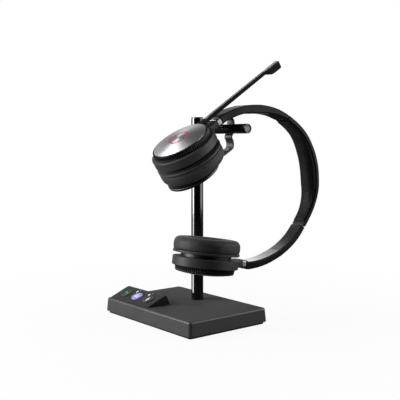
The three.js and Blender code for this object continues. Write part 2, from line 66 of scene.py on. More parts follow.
def on_slope(s, lift=0.0):
    return (-43.6 + s * math.cos(SLOPE) - lift * math.sin(SLOPE), 15.4 + s * math.sin(SLOPE) + lift * math.cos(SLOPE))


def to_slope(x, s):
    y, z = on_slope(s)
    return shift(x, y, z) @ turn(math.degrees(SLOPE), "X")


def in_upper(y, depth):
    t = rad(34)
    return (-35.8 + y * math.cos(t) + depth * math.sin(t), 175.0 + y * math.sin(t) - depth * math.cos(t))


def in_lower(y, depth):
    t = rad(172.5)
    return (-7.2 - y * math.cos(t) + depth * math.sin(t), 51.7 - y * math.sin(t) - depth * math.cos(t))


# ------------------------------------------------------------------ lines and outlines
def smooth_line(points, n):
    """n+1 evenly spaced points along a Catmull-Rom line through the given ones."""
    P = [np.array(p, float) for p in points]
    m, dense = len(P) - 1, []
    for i in range(m):
        p0, p1, p2, p3 = P[max(i - 1, 0)], P[i], P[i + 1], P[min(i + 2, m)]
        v0, v1 = (p2 - p0) * 0.5, (p3 - p1) * 0.5
        for k in range(40):
            t = k / 40
            dense.append((2 * p1 - 2 * p2 + v0 + v1) * t**3 + (-3 * p1 + 3 * p2 - 2 * v0 - v1) * t**2 + v0 * t + p1)
    dense.append(P[-1])
    D = np.array(dense)
    s = np.concatenate([[0], np.cumsum(np.linalg.norm(np.diff(D, axis=0), axis=1))])
    want = np.linspace(0, s[-1], n + 1)
    return np.stack([np.interp(want, s, D[:, 0]), np.interp(want, s, D[:, 1])], 1)


def offset_line(line, distance):
    """The line moved to its right by a distance that may vary along it."""
    out = []
    for i, (a, b) in enumerate(line):
        pa, pb = line[max(i - 1, 0)]
        na, nb = line[min(i + 1, len(line) - 1)]
        l = math.hypot(na - pa, nb - pb)
        d = distance(i / (len(line) - 1)) if callable(distance) else distance
        out.append((a + (nb - pb) / l * d, b - (na - pa) / l * d))
    return np.array(out)


def fillet(points, radii, n=4, closed=True):
    """An outline with its corners rounded."""
    P = [Vector((float(p[0]), float(p[1]))) for p in points]
    m, out = len(P), []
    for i in range(m):
        r = radii[i] if isinstance(radii, (list, tuple)) else radii
        if r <= 0 or (not closed and i in (0, m - 1)):
            out.append((P[i].x, P[i].y))
            continue
        a, b = P[i - 1] - P[i], P[(i + 1) % m] - P[i]
        la, lb = a.length, b.length
        a, b = a / la, b / lb
        ang = math.acos(max(-1, min(1, a.dot(b))))
        if ang > rad(176) or ang < rad(4):
            out.append((P[i].x, P[i].y))
            continue
        t = min(r / math.tan(ang / 2), 0.48 * la, 0.48 * lb)
        rr = t * math.tan(ang / 2)
        c = P[i] + (a + b).normalized() * (rr / math.sin(ang / 2))
        v0, v1 = P[i] + a * t - c, P[i] + b * t - c
        way = 1 if v0.x * v1.y - v0.y * v1.x > 0 else -1
        for k in range(n + 1):
            th = way * (math.pi - ang) * k / n
            out.append((c.x + v0.x * math.cos(th) - v0.y * math.sin(th), c.y + v0.x * math.sin(th) + v0.y * math.cos(th)))
    return out


def rounded_rect(w, d, r, n=10):
    return fillet([(-w / 2, -d / 2), (w / 2, -d / 2), (w / 2, d / 2), (-w / 2, d / 2)], r, n)


def circle(r, n, cx=0.0, cy=0.0):
    return [(cx + r * math.cos(2 * math.pi * k / n), cy + r * math.sin(2 * math.pi * k / n)) for k in range(n)]


def on_arc(arc, r, deg):
    return (arc[0] + r * math.cos(rad(deg)), arc[1] + r * math.sin(rad(deg)))


# ------------------------------------------------------------------ mesh builders: each returns (vertices, faces)
def lathe(profile, seg=96, radial=None):
    """A turned form about +Z, closed on the axis or on itself."""
    rows, verts = [], []
    for r, z in profile:
        if r < 1e-6:
            rows.append([len(verts)])
            verts.append((0.0, 0.0, z))
            continue
        rows.append(list(range(len(verts), len(verts) + seg)))
        for k in range(seg):
            a = 2 * math.pi * k / seg
            rr = r + (radial(a, r, z) if radial else 0.0)
            verts.append((rr * math.cos(a), rr * math.sin(a), z))
    pairs = list(zip(rows, rows[1:]))
    if profile[0][0] > 1e-6:
        pairs.append((rows[-1], rows[0]))
    faces = []
    for A, B in pairs:
        for k in range(seg):
            j = (k + 1) % seg
            if len(A) == 1 and len(B) == 1:
                break
            if len(A) == 1:
                faces.append((A[0], B[k], B[j]))
            elif len(B) == 1:
                faces.append((A[j], A[k], B[0]))
            else:
                faces.append((A[k], A[j], B[j], B[k]))
    return verts, faces


def prism(outline, z0, z1):
    n = len(outline)
    verts = [(x, y, z0) for x, y in outline] + [(x, y, z1) for x, y in outline]
    faces = [tuple(range(n))[::-1], tuple(range(n, 2 * n))]
    faces += [(k, (k + 1) % n, n + (k + 1) % n, n + k) for k in range(n)]
    return verts, faces


def loft(sections, caps=True):
    """Closed rings of equal count joined one to the next."""
    n, verts, faces = len(sections[0]), [], []
    for s in sections:
        verts += [tuple(p) for p in s]
    for i in range(len(sections) - 1):
        for k in range(n):
            j = (k + 1) % n
            faces.append((i * n + k, i * n + j, (i + 1) * n + j, (i + 1) * n + k))
    if caps:
        faces.append(tuple(range(n))[::-1])
        faces.append(tuple(range((len(sections) - 1) * n, len(sections) * n)))
    return verts, faces


def side_extrude(outline_yz, x0, x1):
    """An outline drawn in Y and Z, extruded along X."""
    v, f = prism(outline_yz, x0, x1)
    return [(z, x, y) for x, y, z in v], f


def cuboid(x0, x1, y0, y1, z0, z1):
    return prism([(x0, y0), (x1, y0), (x1, y1), (x0, y1)], z0, z1)


def together(*parts):
    verts, faces = [], []
    for v, f in parts:
        n = len(verts)
        verts += list(v)
        faces += [tuple(i + n for i in face) for face in f]
    return verts, faces


def moved(part, matrix):
    return [tuple(matrix @ Vector(v)) for v in part[0]], part[1]


# ------------------------------------------------------------------ Blender objects
def raw_object(name, part, matrix=IDENTITY):
    """A mesh object in the row frame, in metres, that remembers its own local place in mm as the attribute lp."""
    verts, faces = part
    me = bpy.data.meshes.new(name)
    me.from_pydata([tuple((matrix @ Vector(v)) * MM) for v in verts], [], faces)
    me.update()
    at = me.attributes.new("lp", "FLOAT_VECTOR", "POINT")
    at.data.foreach_set("vector", np.array(verts, np.float32).ravel())
    bm = bmesh.new()
    bm.from_mesh(me)
    bmesh.ops.recalc_face_normals(bm, faces=bm.faces)
    bm.to_mesh(me)
    bm.free()
    ob = bpy.data.objects.new(name, me)
    bpy.context.scene.collection.objects.link(ob)
    return ob


def boolean(ob, cutter, operation="DIFFERENCE"):
    m = ob.modifiers.new("cut", "BOOLEAN")
    m.operation, m.solver, m.object = operation, "EXACT", cutter
    bake(ob)
    bpy.data.objects.remove(cutter)
    return ob


def bake(ob):
    """The object's modifiers applied to its mesh."""
    dg = bpy.context.evaluated_depsgraph_get()
    dg.update()
    me = bpy.data.meshes.new_from_object(ob.evaluated_get(dg), preserve_all_data_layers=True, depsgraph=dg)
    ob.modifiers.clear()
    ob.data = me
    return ob


def rounded_edges(ob, width, segments=3, angle=35):
    m = ob.modifiers.new("edges", "BEVEL")
    m.width, m.segments, m.limit_method, m.angle_limit = width * MM, segments, "ANGLE", rad(angle)
    m.use_clamp_overlap = True
    m.miter_outer = "MITER_ARC"
    bake(ob)
    return ob


def local_again(ob, matrix):
    """Writes the attribute lp again from the final vertices, after modifiers that made new ones."""
    inv = matrix.inverted()
    co = np.array([tuple(inv @ (v.co / MM)) for v in ob.data.vertices], np.float32)
    at = ob.data.attributes.get("lp")
    if at is not None:
        ob.data.attributes.remove(at)
    at = ob.data.attributes.new("lp", "FLOAT_VECTOR", "POINT")
    at.data.foreach_set("vector", co.ravel())


def finish_piece(ob, body, materials, replaces=(), sharp=42, pick=None, matrix=IDENTITY, weighted=True):
    materials = materials if isinstance(materials, (list, tuple)) else [materials]
    me = ob.data
    me.materials.clear()
    for m in materials:
        me.materials.append(m)
    local_again(ob, matrix)
    bm = bmesh.new()
    bm.from_mesh(me)
    bmesh.ops.remove_doubles(bm, verts=bm.verts, dist=2e-7)
    bmesh.ops.dissolve_degenerate(bm, dist=1e-8, edges=bm.edges)
    bmesh.ops.recalc_face_normals(bm, faces=bm.faces)
    inv = matrix.inverted()
    turn_back = inv.to_3x3()
    for f in bm.faces:
        f.smooth = True
        f.material_index = pick(inv @ (f.calc_center_median() / MM), (turn_back @ f.normal).normalized()) if pick else 0
    bm.to_mesh(me)
    bm.free()
    if sharp:
        me.set_sharp_from_angle(angle=rad(sharp))
    if weighted:
        w = ob.modifiers.new("normals", "WEIGHTED_NORMAL")
        w.keep_sharp, w.weight = True, 50
    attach(ob, body)
    if replaces:
        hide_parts(*replaces)
    return ob


def piece(name, part, body, materials, replaces=(), matrix=IDENTITY, bevel=0, sharp=42, pick=None, segments=3, weighted=True):
    ob = raw_object(name, part, matrix)
    if bevel:
        rounded_edges(ob, bevel, segments)
    return finish_piece(ob, body, materials, replaces, sharp, pick, matrix, weighted)


# ------------------------------------------------------------------ materials
def node(t, kind, at=None, **inputs):
    n = t.nodes.new(kind)
    for k, v in (at or {}).items():
        setattr(n, k, v)
    for k, v in inputs.items():
        key = int(k[1:]) if k[0] == "i" and k[1:].isdigit() else k.replace("_", " ")
        if isinstance(v, bpy.types.NodeSocket):
            t.links.new(v, n.inputs[key])
        else:
            n.inputs[key].default_value = v
    return n


def new_material(name):
    m = bpy.data.materials.new(name)
    m.use_nodes = True
    t = m.node_tree
    return m, t, t.nodes["Principled BSDF"]


def put(t, b, **sockets):
    for k, v in sockets.items():
        key = k.replace("_", " ")
        if isinstance(v, bpy.types.NodeSocket):
            t.links.new(v, b.inputs[key])
        else:
            b.inputs[key].default_value = v


def rgb(c, k=1.0):
    return (min(c[0] * k, 1), min(c[1] * k, 1), min(c[2] * k, 1), 1)


def mix_colour(t, fac, a, b):
    n = t.nodes.new("ShaderNodeMix")
    n.data_type = "RGBA"
    for key, v in ((0, fac), (6, a), (7, b)):
        if isinstance(v, bpy.types.NodeSocket):
            t.links.new(v, n.inputs[key])
        else:
            n.inputs[key].default_value = v
    return n.outputs[2]


def ranged(t, v, lo, hi, a=0.0, b=1.0):
    return node(t, "ShaderNodeMapRange", {"clamp": True}, Value=v, From_Min=a, From_Max=b, To_Min=lo, To_Max=hi).outputs[0]


def plastic(name, colour, rough, grain=0.00022, depth=0.00001, strength=0.35, vary=0.10, spec=0.5, coat=0.0, coat_rough=0.1, edge=0.0, sheen=0.0, metal=0.0):
    """Moulded plastic: fine spark-eroded grain, slow variation of tone and gloss, and a painted highlight that lightens
    the edges a little unevenly.
    """
    m, t, b = new_material(name)
    place = node(t, "ShaderNodeTexCoord").outputs["Object"]
    slow = node(t, "ShaderNodeTexNoise", Vector=place, Scale=38.0, Detail=4.0, Roughness=0.6).outputs[0]
    fine = node(t, "ShaderNodeTexNoise", Vector=place, Scale=1 / grain, Detail=3.0, Roughness=0.65).outputs[0]
    specks = node(t, "ShaderNodeTexVoronoi", Vector=place, Scale=0.45 / grain).outputs["Distance"]
    tone = mix_colour(t, ranged(t, slow, 0, 1, 0.3, 0.7), rgb(colour, 1 - vary), rgb(colour, 1 + vary))
    tone = mix_colour(t, ranged(t, fine, 0, 0.35, 0.35, 0.75), tone, rgb(colour, 1.25))
    # painted highlight: the tone is lightened towards 2.6 times along edges found by the bevel node, varied by the slow
    # noise
    if edge:
        away = node(t, "ShaderNodeBevel", {"samples": 4}, Radius=0.0007).outputs[0]
        true = node(t, "ShaderNodeNewGeometry").outputs["Normal"]
        dot = node(t, "ShaderNodeVectorMath", {"operation": "DOT_PRODUCT"}, i0=away, i1=true).outputs["Value"]
        painted_edge_highlight = ranged(t, dot, edge, 0.0, 0.88, 0.995)
        painted_edge_highlight = node(t, "ShaderNodeMath", {"operation": "MULTIPLY"}, i0=painted_edge_highlight, i1=ranged(t, slow, 0.4, 1.0, 0.35, 0.65)).outputs[0]
        tone = mix_colour(t, painted_edge_highlight, tone, rgb(colour, 2.6))
    both = node(t, "ShaderNodeMath", {"operation": "ADD"}, i0=fine, i1=specks).outputs[0]
    bump = node(t, "ShaderNodeBump", Strength=strength, Distance=depth, Height=both).outputs[0]
    put(t, b, Base_Color=tone, Roughness=ranged(t, slow, rough - 0.05, rough + 0.05, 0.3, 0.7), Normal=bump, Specular_IOR_Level=spec, Coat_Weight=coat, Coat_Roughness=coat_rough, Metallic=metal)
    if sheen:
        put(t, b, Sheen_Weight=sheen, Sheen_Roughness=0.4)
    return m


def lacquer(name, colour, rough=0.07):
    """High-gloss lacquer with a trace of orange peel and a few faint wiping marks."""
    m, t, b = new_material(name)
    place = node(t, "ShaderNodeTexCoord").outputs["Object"]
    peel = node(t, "ShaderNodeTexNoise", Vector=place, Scale=420.0, Detail=1.0).outputs[0]
    slow = node(t, "ShaderNodeTexNoise", Vector=place, Scale=45.0, Detail=5.0, Roughness=0.7).outputs[0]
    stretched = node(t, "ShaderNodeMapping", Vector=place, Scale=(1.0, 1.0, 0.06)).outputs[0]
    wipes = node(t, "ShaderNodeTexNoise", Vector=stretched, Scale=900.0, Detail=2.0).outputs[0]
    bump = node(t, "ShaderNodeBump", Strength=0.05, Distance=0.00004, Height=peel).outputs[0]
    r = node(t, "ShaderNodeMath", {"operation": "ADD"}, i0=ranged(t, slow, rough, rough + 0.05, 0.4, 0.75), i1=ranged(t, wipes, 0.0, 0.05, 0.55, 0.8)).outputs[0]
    put(t, b, Base_Color=mix_colour(t, ranged(t, slow, 0, 1, 0.3, 0.7), rgb(colour, 0.8), rgb(colour, 1.3)), Roughness=r, Normal=bump, Specular_IOR_Level=0.5, Coat_Weight=0.35, Coat_Roughness=0.04)
    return m


def turned_metal(name, colour, rough=0.32, aniso=0.62):
    """Aluminium with circular brush marks about the piece's own axis."""
    m, t, b = new_material(name)
    lp = node(t, "ShaderNodeAttribute", {"attribute_name": "lp"}).outputs["Vector"]
    s = node(t, "ShaderNodeSeparateXYZ", i0=lp)
    x, y = s.outputs[0], s.outputs[1]
    r2 = node(t, "ShaderNodeMath", {"operation": "ADD"}, i0=node(t, "ShaderNodeMath", {"operation": "MULTIPLY"}, i0=x, i1=x).outputs[0], i1=node(t, "ShaderNodeMath", {"operation": "MULTIPLY"}, i0=y, i1=y).outputs[0]).outputs[0]
    r = node(t, "ShaderNodeMath", {"operation": "SQRT"}, i0=r2).outputs[0]
    a = node(t, "ShaderNodeMath", {"operation": "ARCTAN2"}, i0=y, i1=x).outputs[0]
    turns = node(t, "ShaderNodeCombineXYZ", X=r, Y=node(t, "ShaderNodeMath", {"operation": "MULTIPLY"}, i0=a, i1=0.35).outputs[0], Z=0.0).outputs[0]
    marks = node(t, "ShaderNodeTexNoise", Vector=turns, Scale=9.0, Detail=6.0, Roughness=0.8).outputs[0]
    broad = node(t, "ShaderNodeTexNoise", Vector=turns, Scale=1.3, Detail=2.0).outputs[0]
    bump = node(t, "ShaderNodeBump", Strength=0.12, Distance=0.00001, Height=marks).outputs[0]
    tone = mix_colour(t, ranged(t, marks, 0, 1, 0.3, 0.7), rgb(colour, 0.86), rgb(colour, 1.1))
    tone = mix_colour(t, ranged(t, broad, 0, 0.25, 0.4, 0.6), tone, rgb(colour, 0.9))
    # light spreads across the circular marks, so the long way of the shine is outwards from the axis
    ux = Vector(frame_axis(name, 0))
    uy = Vector(frame_axis(name, 1))
    along = node(t, "ShaderNodeVectorMath", {"operation": "SCALE"}, i0=tuple(ux), Scale=x).outputs[0]
    across = node(t, "ShaderNodeVectorMath", {"operation": "SCALE"}, i0=tuple(uy), Scale=y).outputs[0]
    way = node(t, "ShaderNodeVectorMath", {"operation": "ADD"}, i0=along, i1=across).outputs[0]
    way = node(t, "ShaderNodeVectorTransform", {"vector_type": "VECTOR", "convert_from": "OBJECT", "convert_to": "WORLD"}, i0=way).outputs[0]
    way = node(t, "ShaderNodeVectorMath", {"operation": "NORMALIZE"}, i0=way).outputs[0]
    put(t, b, Base_Color=tone, Metallic=1.0, Roughness=ranged(t, marks, rough - 0.06, rough + 0.08, 0.3, 0.7), Normal=bump, Anisotropic=aniso, Tangent=way)
    return m


def frame_axis(name, i):
    basis = {"upper": UPPER, "lower": LOWER}["lower" if "lower" in name else "upper"]
    return [basis[k][i] for k in range(3)]


def brushed_metal(name, colour, rough=0.3, stretch=(1.0, 0.04, 1.0), scale=2600.0):
    m, t, b = new_material(name)
    place = node(t, "ShaderNodeTexCoord").outputs["Object"]
    long = node(t, "ShaderNodeMapping", Vector=place, Scale=stretch).outputs[0]
    marks = node(t, "ShaderNodeTexNoise", Vector=long, Scale=scale, Detail=4.0, Roughness=0.7).outputs[0]
    slow = node(t, "ShaderNodeTexNoise", Vector=place, Scale=70.0, Detail=3.0).outputs[0]
    bump = node(t, "ShaderNodeBump", Strength=0.15, Distance=0.00001, Height=marks).outputs[0]
    tone = mix_colour(t, ranged(t, marks, 0, 1, 0.3, 0.7), rgb(colour, 0.85), rgb(colour, 1.12))
    put(t, b, Base_Color=tone, Metallic=1.0, Roughness=ranged(t, slow, rough - 0.05, rough + 0.08, 0.3, 0.7), Normal=bump)
    return m


def leatherette(name, colour, rough=0.45, spec=0.5):
    """Protein leather: pebble grain with fine pores, gloss on the tops of the grain and a soft sheen."""
    m, t, b = new_material(name)
    place = node(t, "ShaderNodeTexCoord").outputs["Object"]
    stir = node(t, "ShaderNodeTexNoise", Vector=place, Scale=240.0, Detail=3.0).outputs["Color"]
    bent = mix_colour(t, 0.0012, place, stir)
    grain = node(t, "ShaderNodeTexVoronoi", {"feature": "DISTANCE_TO_EDGE"}, Vector=bent, Scale=1150.0, Randomness=1.0).outputs["Distance"]
    cells = ranged(t, grain, 0.0, 1.0, 0.0, 0.16)
    pores = node(t, "ShaderNodeTexNoise", Vector=place, Scale=5200.0, Detail=2.0).outputs[0]
    slow = node(t, "ShaderNodeTexNoise", Vector=place, Scale=32.0, Detail=4.0, Roughness=0.6).outputs[0]
    creases = node(t, "ShaderNodeTexNoise", Vector=place, Scale=150.0, Detail=6.0, Roughness=0.62, Distortion=0.6).outputs[0]
    height = node(t, "ShaderNodeMath", {"operation": "ADD"}, i0=cells, i1=node(t, "ShaderNodeMath", {"operation": "MULTIPLY"}, i0=pores, i1=0.35).outputs[0]).outputs[0]
    first = node(t, "ShaderNodeBump", Strength=0.35, Distance=0.00035, Height=creases).outputs[0]
    bump = node(t, "ShaderNodeBump", Strength=0.4, Distance=0.00004, Height=height, Normal=first).outputs[0]
    tone = mix_colour(t, cells, rgb(colour, 0.55), rgb(colour, 1.1))
    tone = mix_colour(t, ranged(t, slow, 0, 0.5, 0.35, 0.7), tone, rgb(colour, 1.5))
    shine = node(t, "ShaderNodeMath", {"operation": "ADD"}, i0=ranged(t, cells, rough + 0.14, rough, 0.0, 1.0), i1=ranged(t, slow, -0.04, 0.05, 0.3, 0.7)).outputs[0]
    put(t, b, Base_Color=tone, Roughness=shine, Normal=bump, Sheen_Weight=0.06, Sheen_Roughness=0.5, Specular_IOR_Level=spec)
    return m


def speaker_cloth(name, colour):
    """Fine knitted speaker cloth."""
    m, t, b = new_material(name)
    lp = node(t, "ShaderNodeAttribute", {"attribute_name": "lp"}).outputs["Vector"]
    wx = node(t, "ShaderNodeTexWave", {"wave_type": "BANDS", "bands_direction": "X"}, Vector=lp, Scale=0.75, Distortion=0.4, Detail=1.0).outputs["Fac"]
    wy = node(t, "ShaderNodeTexWave", {"wave_type": "BANDS", "bands_direction": "Y"}, Vector=lp, Scale=0.75, Distortion=0.4, Detail=1.0).outputs["Fac"]
    weave = node(t, "ShaderNodeMath", {"operation": "MULTIPLY"}, i0=wx, i1=wy).outputs[0]
    fuzz = node(t, "ShaderNodeTexNoise", Vector=lp, Scale=4.0, Detail=5.0).outputs[0]
    bump = node(t, "ShaderNodeBump", Strength=0.7, Distance=0.00008, Height=weave).outputs[0]
    tone = mix_colour(t, weave, rgb(colour, 0.35), rgb(colour, 1.6))
    tone = mix_colour(t, ranged(t, fuzz, 0, 0.4, 0.4, 0.7), tone, rgb(colour, 2.2))
    put(t, b, Base_Color=tone, Roughness=0.95, Normal=bump, Sheen_Weight=0.25, Sheen_Roughness=0.6)
    return m


def glow(name, colour, strength, base=None, rough=0.35):
    """A translucent light guide: its own colour, lit from behind a little unevenly."""
    m, t, b = new_material(name)
    place = node(t, "ShaderNodeTexCoord").outputs["Object"]
    n = node(t, "ShaderNodeTexNoise", Vector=place, Scale=260.0, Detail=3.0).outputs[0]
    tone = mix_colour(t, ranged(t, n, 0, 1, 0.3, 0.7), rgb(base or colour, 0.85), rgb(base or colour, 1.1))
    lit = mix_colour(t, ranged(t, n, 0, 1, 0.3, 0.7), rgb(colour, 0.9), rgb(colour, 1.0))
    fine = node(t, "ShaderNodeTexNoise", Vector=place, Scale=3200.0, Detail=2.0).outputs[0]
    bump = node(t, "ShaderNodeBump", Strength=0.1, Distance=0.00001, Height=fine).outputs[0]
    put(t, b, Base_Color=tone, Roughness=ranged(t, n, rough - 0.05, rough + 0.05, 0.3, 0.7), Normal=bump, Emission_Color=lit, Emission_Strength=strength)
    return m


def circuit_board(name):
    m, t, b = new_material(name)
    place = node(t, "ShaderNodeTexCoord").outputs["Object"]
    tracks = node(t, "ShaderNodeTexBrick", Vector=place, Color1=(0.02, 0.12, 0.05, 1), Color2=(0.015, 0.1, 0.04, 1), Mortar=(0.05, 0.22, 0.1, 1), Scale=260.0, Mortar_Size=0.03).outputs["Color"]
    dots = node(t, "ShaderNodeTexVoronoi", Vector=place, Scale=320.0).outputs["Distance"]
    pads = ranged(t, dots, 1.0, 0.0, 0.06, 0.1)
    tone = mix_colour(t, pads, tracks, (0.7, 0.52, 0.2, 1))
    bump = node(t, "ShaderNodeBump", Strength=0.3, Distance=0.00003, Height=dots).outputs[0]
    put(t, b, Base_Color=tone, Roughness=ranged(t, pads, 0.45, 0.25), Metallic=pads, Normal=bump)
    return m


BASE = plastic("base_satin", (0.072, 0.0705, 0.0715), 0.62, grain=0.00026, depth=0.000012, strength=0.4, edge=0.35, spec=0.05)
BASE_RIM = plastic("base_rim_satin", (0.07, 0.069, 0.07), 0.36, grain=0.00026, depth=0.000008, strength=0.3)
PANEL = plastic("panel_satin", (0.042, 0.042, 0.0432), 0.55, grain=0.0002, edge=0.25, spec=0.12)
GLOSS_PANEL = lacquer("panel_end_gloss", (0.004, 0.004, 0.0045), 0.06)
BLACK = plastic("black_moulding", (0.006, 0.006, 0.0063), 0.42, grain=0.0002)
# painted highlight: a lighter copy of the ring's black for the outer faces of the rib crests
RIB_CREST_HIGHLIGHT = plastic("rib_crest_painted_highlight", (0.024, 0.024, 0.0245), 0.36, grain=0.0002, spec=0.25)
RIBBED = plastic("ribbed_ring_black", (0.004, 0.004, 0.0042), 0.40, grain=0.0002, spec=0.15)
CHARCOAL = plastic("charcoal_soft_touch", (0.043, 0.043, 0.045), 0.46, grain=0.00022, depth=0.00001, edge=0.3, sheen=0.05, spec=0.2)
CHARCOAL_ARM = plastic("charcoal_arm", (0.013, 0.013, 0.0138), 0.32, grain=0.00022, depth=0.000006, strength=0.2, edge=0.3, spec=0.3)
BOOM_BLACK = plastic("boom_black", (0.006, 0.006, 0.0063), 0.4, grain=0.0002, spec=0.15)
# pale grey for the capsule's upward faces: partly a real pale strip, partly a painted highlight
CAPSULE_TOP_STRIP_AND_HIGHLIGHT = plastic("capsule_top_strip_and_highlight", (0.34, 0.34, 0.345), 0.36, grain=0.0002)
BOOM_STRIP = plastic("boom_strip_grey", (0.27, 0.27, 0.273), 0.4, grain=0.0002)
HOOK = plastic("hook_satin", (0.03, 0.03, 0.032), 0.4, grain=0.0002, edge=0.3)
# painted highlight: pale grey for the upward faces of the dock hook's bent lower end
HOOK_PAINTED_HIGHLIGHT = plastic("hook_painted_highlight", (0.22, 0.22, 0.223), 0.5, grain=0.0003, depth=0.00002)
GLOSS = lacquer("gloss_black", (0.0022, 0.0022, 0.0025), 0.07)
RUBBER = plastic("rubber", (0.01, 0.01, 0.01), 0.8, grain=0.0006, depth=0.00004, strength=0.6, vary=0.2)
STEEL = brushed_metal("steel", (0.5, 0.5, 0.52), 0.34)
CONTACT_FACE = plastic("contact_pale", (0.4, 0.4, 0.41), 0.35, grain=0.0003)
SILVER = brushed_metal("silver_satin", (0.64, 0.64, 0.655), 0.36, (1.0, 1.0, 0.04))
PLATE_UPPER = turned_metal("upper_plate_brushed", (0.74, 0.74, 0.76), 0.42)
PLATE_LOWER = turned_metal("lower_plate_brushed", (0.74, 0.74, 0.76), 0.42)
LEATHER = leatherette("leatherette", (0.038, 0.038, 0.039), 0.5, 0.2)
LEATHER_PAD = leatherette("leatherette_pad", (0.009, 0.009, 0.0094), 0.48, 0.14)
CLOTH = speaker_cloth("speaker_cloth", (0.012, 0.012, 0.013))
RED_RING = glow("red_light_ring", (0.75, 0.12, 0.16), 0.22, (0.5, 0.06, 0.09))
WHITE_LIGHT = glow("white_light", (0.9, 0.9, 0.92), 0.35, (0.7, 0.7, 0.72))
GREEN_LED = glow("green_led", (0.1, 0.55, 0.3), 0.55, (0.1, 0.4, 0.2))
RED_LED = glow("red_led", (0.8, 0.2, 0.2), 0.55, (0.5, 0.12, 0.12))
GREEN_PRINT = glow("green_print", (0.05, 0.42, 0.14), 0.22, (0.05, 0.3, 0.11))
WHITE_PRINT = glow("white_print", (0.85, 0.85, 0.87), 0.25, (0.7, 0.7, 0.72))
VIOLET_KEY = glow("violet_key", (0.34, 0.3, 0.72), 0.34, (0.26, 0.23, 0.6), 0.3)
VIOLET_RING = glow("violet_ring", (0.55, 0.5, 0.85), 0.35, (0.45, 0.42, 0.75), 0.3)
KEY = plastic("key_satin", (0.022, 0.022, 0.023), 0.34, grain=0.0002)
KEY_GREEN = plastic("key_satin_green", (0.02, 0.032, 0.024), 0.34, grain=0.0002)
BOARD = circuit_board("circuit_board")
CELL = brushed_metal("cell_foil", (0.42, 0.44, 0.48), 0.4, (1.0, 1.0, 1.0), 500.0)
# painted shade: near black for the walls and floors of holes and slots
HOLE_PAINTED_SHADE = plastic("hole_painted_shade", (0.003, 0.003, 0.003), 0.7, grain=0.0003)

# ------------------------------------------------------------------ stand: base
SPEAKER = (-44.5, 14.6)  # centre of the ring of sound holes in the top face


def base_ring(inset, z, n=12):
    k = (15.4 - z) / 13.2
    pts = rounded_rect(136 - 2 * inset, 92.6 - 2 * inset, 3.2 - inset, n)
    return [(x * (1 + 2 * k / 136), y * (1 + 2 * k / 92.6), z) for x, y in pts]


profile = [(0.4, 2.2), (0.12, 2.32), (0.0, 2.6), (0.0, 8.0), (0.0, 14.0)]
profile += [(1.4 - 1.4 * math.cos(rad(a)), 14.0 + 1.4 * math.sin(rad(a))) for a in (12, 28, 45, 62, 78, 90)]
base = raw_object("base_shell_detail", loft([base_ring(i, z) for i, z in profile]))
boolean(base, raw_object("c", prism(rounded_rect(131.6, 88.2, 2, 8), 0.8, 13.0)))
cut = [moved(prism(circle(4.4, 48), 10, 20), shift(POLE_X, POLE_Y, 0))]
cut.append(moved(prism(rounded_rect(11.2, 4.6, 1.0, 4), 40, 50), shift(-45, 0, 7.1) @ Matrix(((1, 0, 0, 0), (0, 0, 1, 0), (0, 1, 0, 0), (0, 0, 0, 1)))))
holes = [(8.0 * math.cos(2 * math.pi * k / 20), 8.0 * math.sin(2 * math.pi * k / 20)) for k in range(20)]
holes += [(4.6 * math.cos(2 * math.pi * (k + 0.5) / 12), 4.6 * math.sin(2 * math.pi * (k + 0.5) / 12)) for k in range(12)]
cut += [moved(prism(circle(0.62, 14), 14.2, 17), shift(SPEAKER[0] + x, SPEAKER[1] + y, 0)) for x, y in holes]
boolean(base, raw_object("c", together(*cut)))


# index 1 paints shade into the sound holes and onto the underside seen through them; index 2 is the smoother rim
def base_pick(c, n):
    x, y = c.x - SPEAKER[0], c.y - SPEAKER[1]
    if c.z > 13.9 and 0.12 < n.z < 0.985 and (abs(c.x) > 66 or abs(c.y) > 44.3):
        return 2
    return 1 if c.z < 15.38 and c.z > 14 and math.hypot(x, y) < 9 and (abs(n.z) < 0.5 or c.z < 14.4) else 0


finish_piece(base, "stand", [BASE, HOLE_PAINTED_SHADE, BASE_RIM], ["base_shell"], pick=base_pick)


def mat_ring(inset, z):
    return [(x, y, z) for x, y in rounded_rect(133.8 - 2 * inset, 90.4 - 2 * inset, 2.6 - inset, 8)]


piece("rubber_mat_detail", loft([mat_ring(i, z) for i, z in ((0.35, 0.0), (0.1, 0.1), (0.0, 0.35), (0.0, 1.55), (0.1, 1.8), (0.35, 1.9))]), "stand", RUBBER, ["rubber_mat"])
# tongue inside the charging inlet
piece("usb_tongue", prism([(-3.2, 39.6), (3.2, 39.6), (3.2, 45.4), (-3.2, 45.4)], 6.75, 7.45), "stand", BLACK, matrix=shift(-45, 0, 0), bevel=0.12)

# ------------------------------------------------------------------ stand: control panel, keys and lights
KEYS = {"call_key": -53.6, "assistant_key": -34.8, "mute_key": -16.0}
LIGHTS = {"left": -43.4, "right": -22.8}
KEY_S = 12.6
outline = fillet([(-42.05, 15.7), on_slope(22), on_slope(23.2, -0.15), (-20.6, 24.15), (-19.3, 23.8), (-18.2, 22.6), (-15.0, 15.7)], [0, 1.2, 0.8, 0.8, 0.9, 1.4, 0.2], 3)
panel = raw_object("control_panel_detail", side_extrude(outline, -66.6, -3.0))
cut = [moved(prism(circle(6.2, 72), -2.6, 2.6), to_slope(x, KEY_S)) for x in KEYS.values()]
cut += [moved(prism(rounded_rect(2.2, 3.8, 1.0, 5), -2.2, 2.2), to_slope(x, 19.4)) for x in LIGHTS.values()]
cut += [moved(prism(circle(0.8, 20), -1.2, 3), to_slope(x + 1.6, 22.6)) for x in LIGHTS.values()]
boolean(panel, raw_object("c", together(*cut)))
rounded_edges(panel, 0.28, 2, 50)
finish_piece(panel, "stand", [PANEL, GLOSS_PANEL], ["control_panel"], pick=lambda c, n: 1 if abs(n.x) > 0.9 and (c.x > -3.2 or c.x < -66.4) else 0)

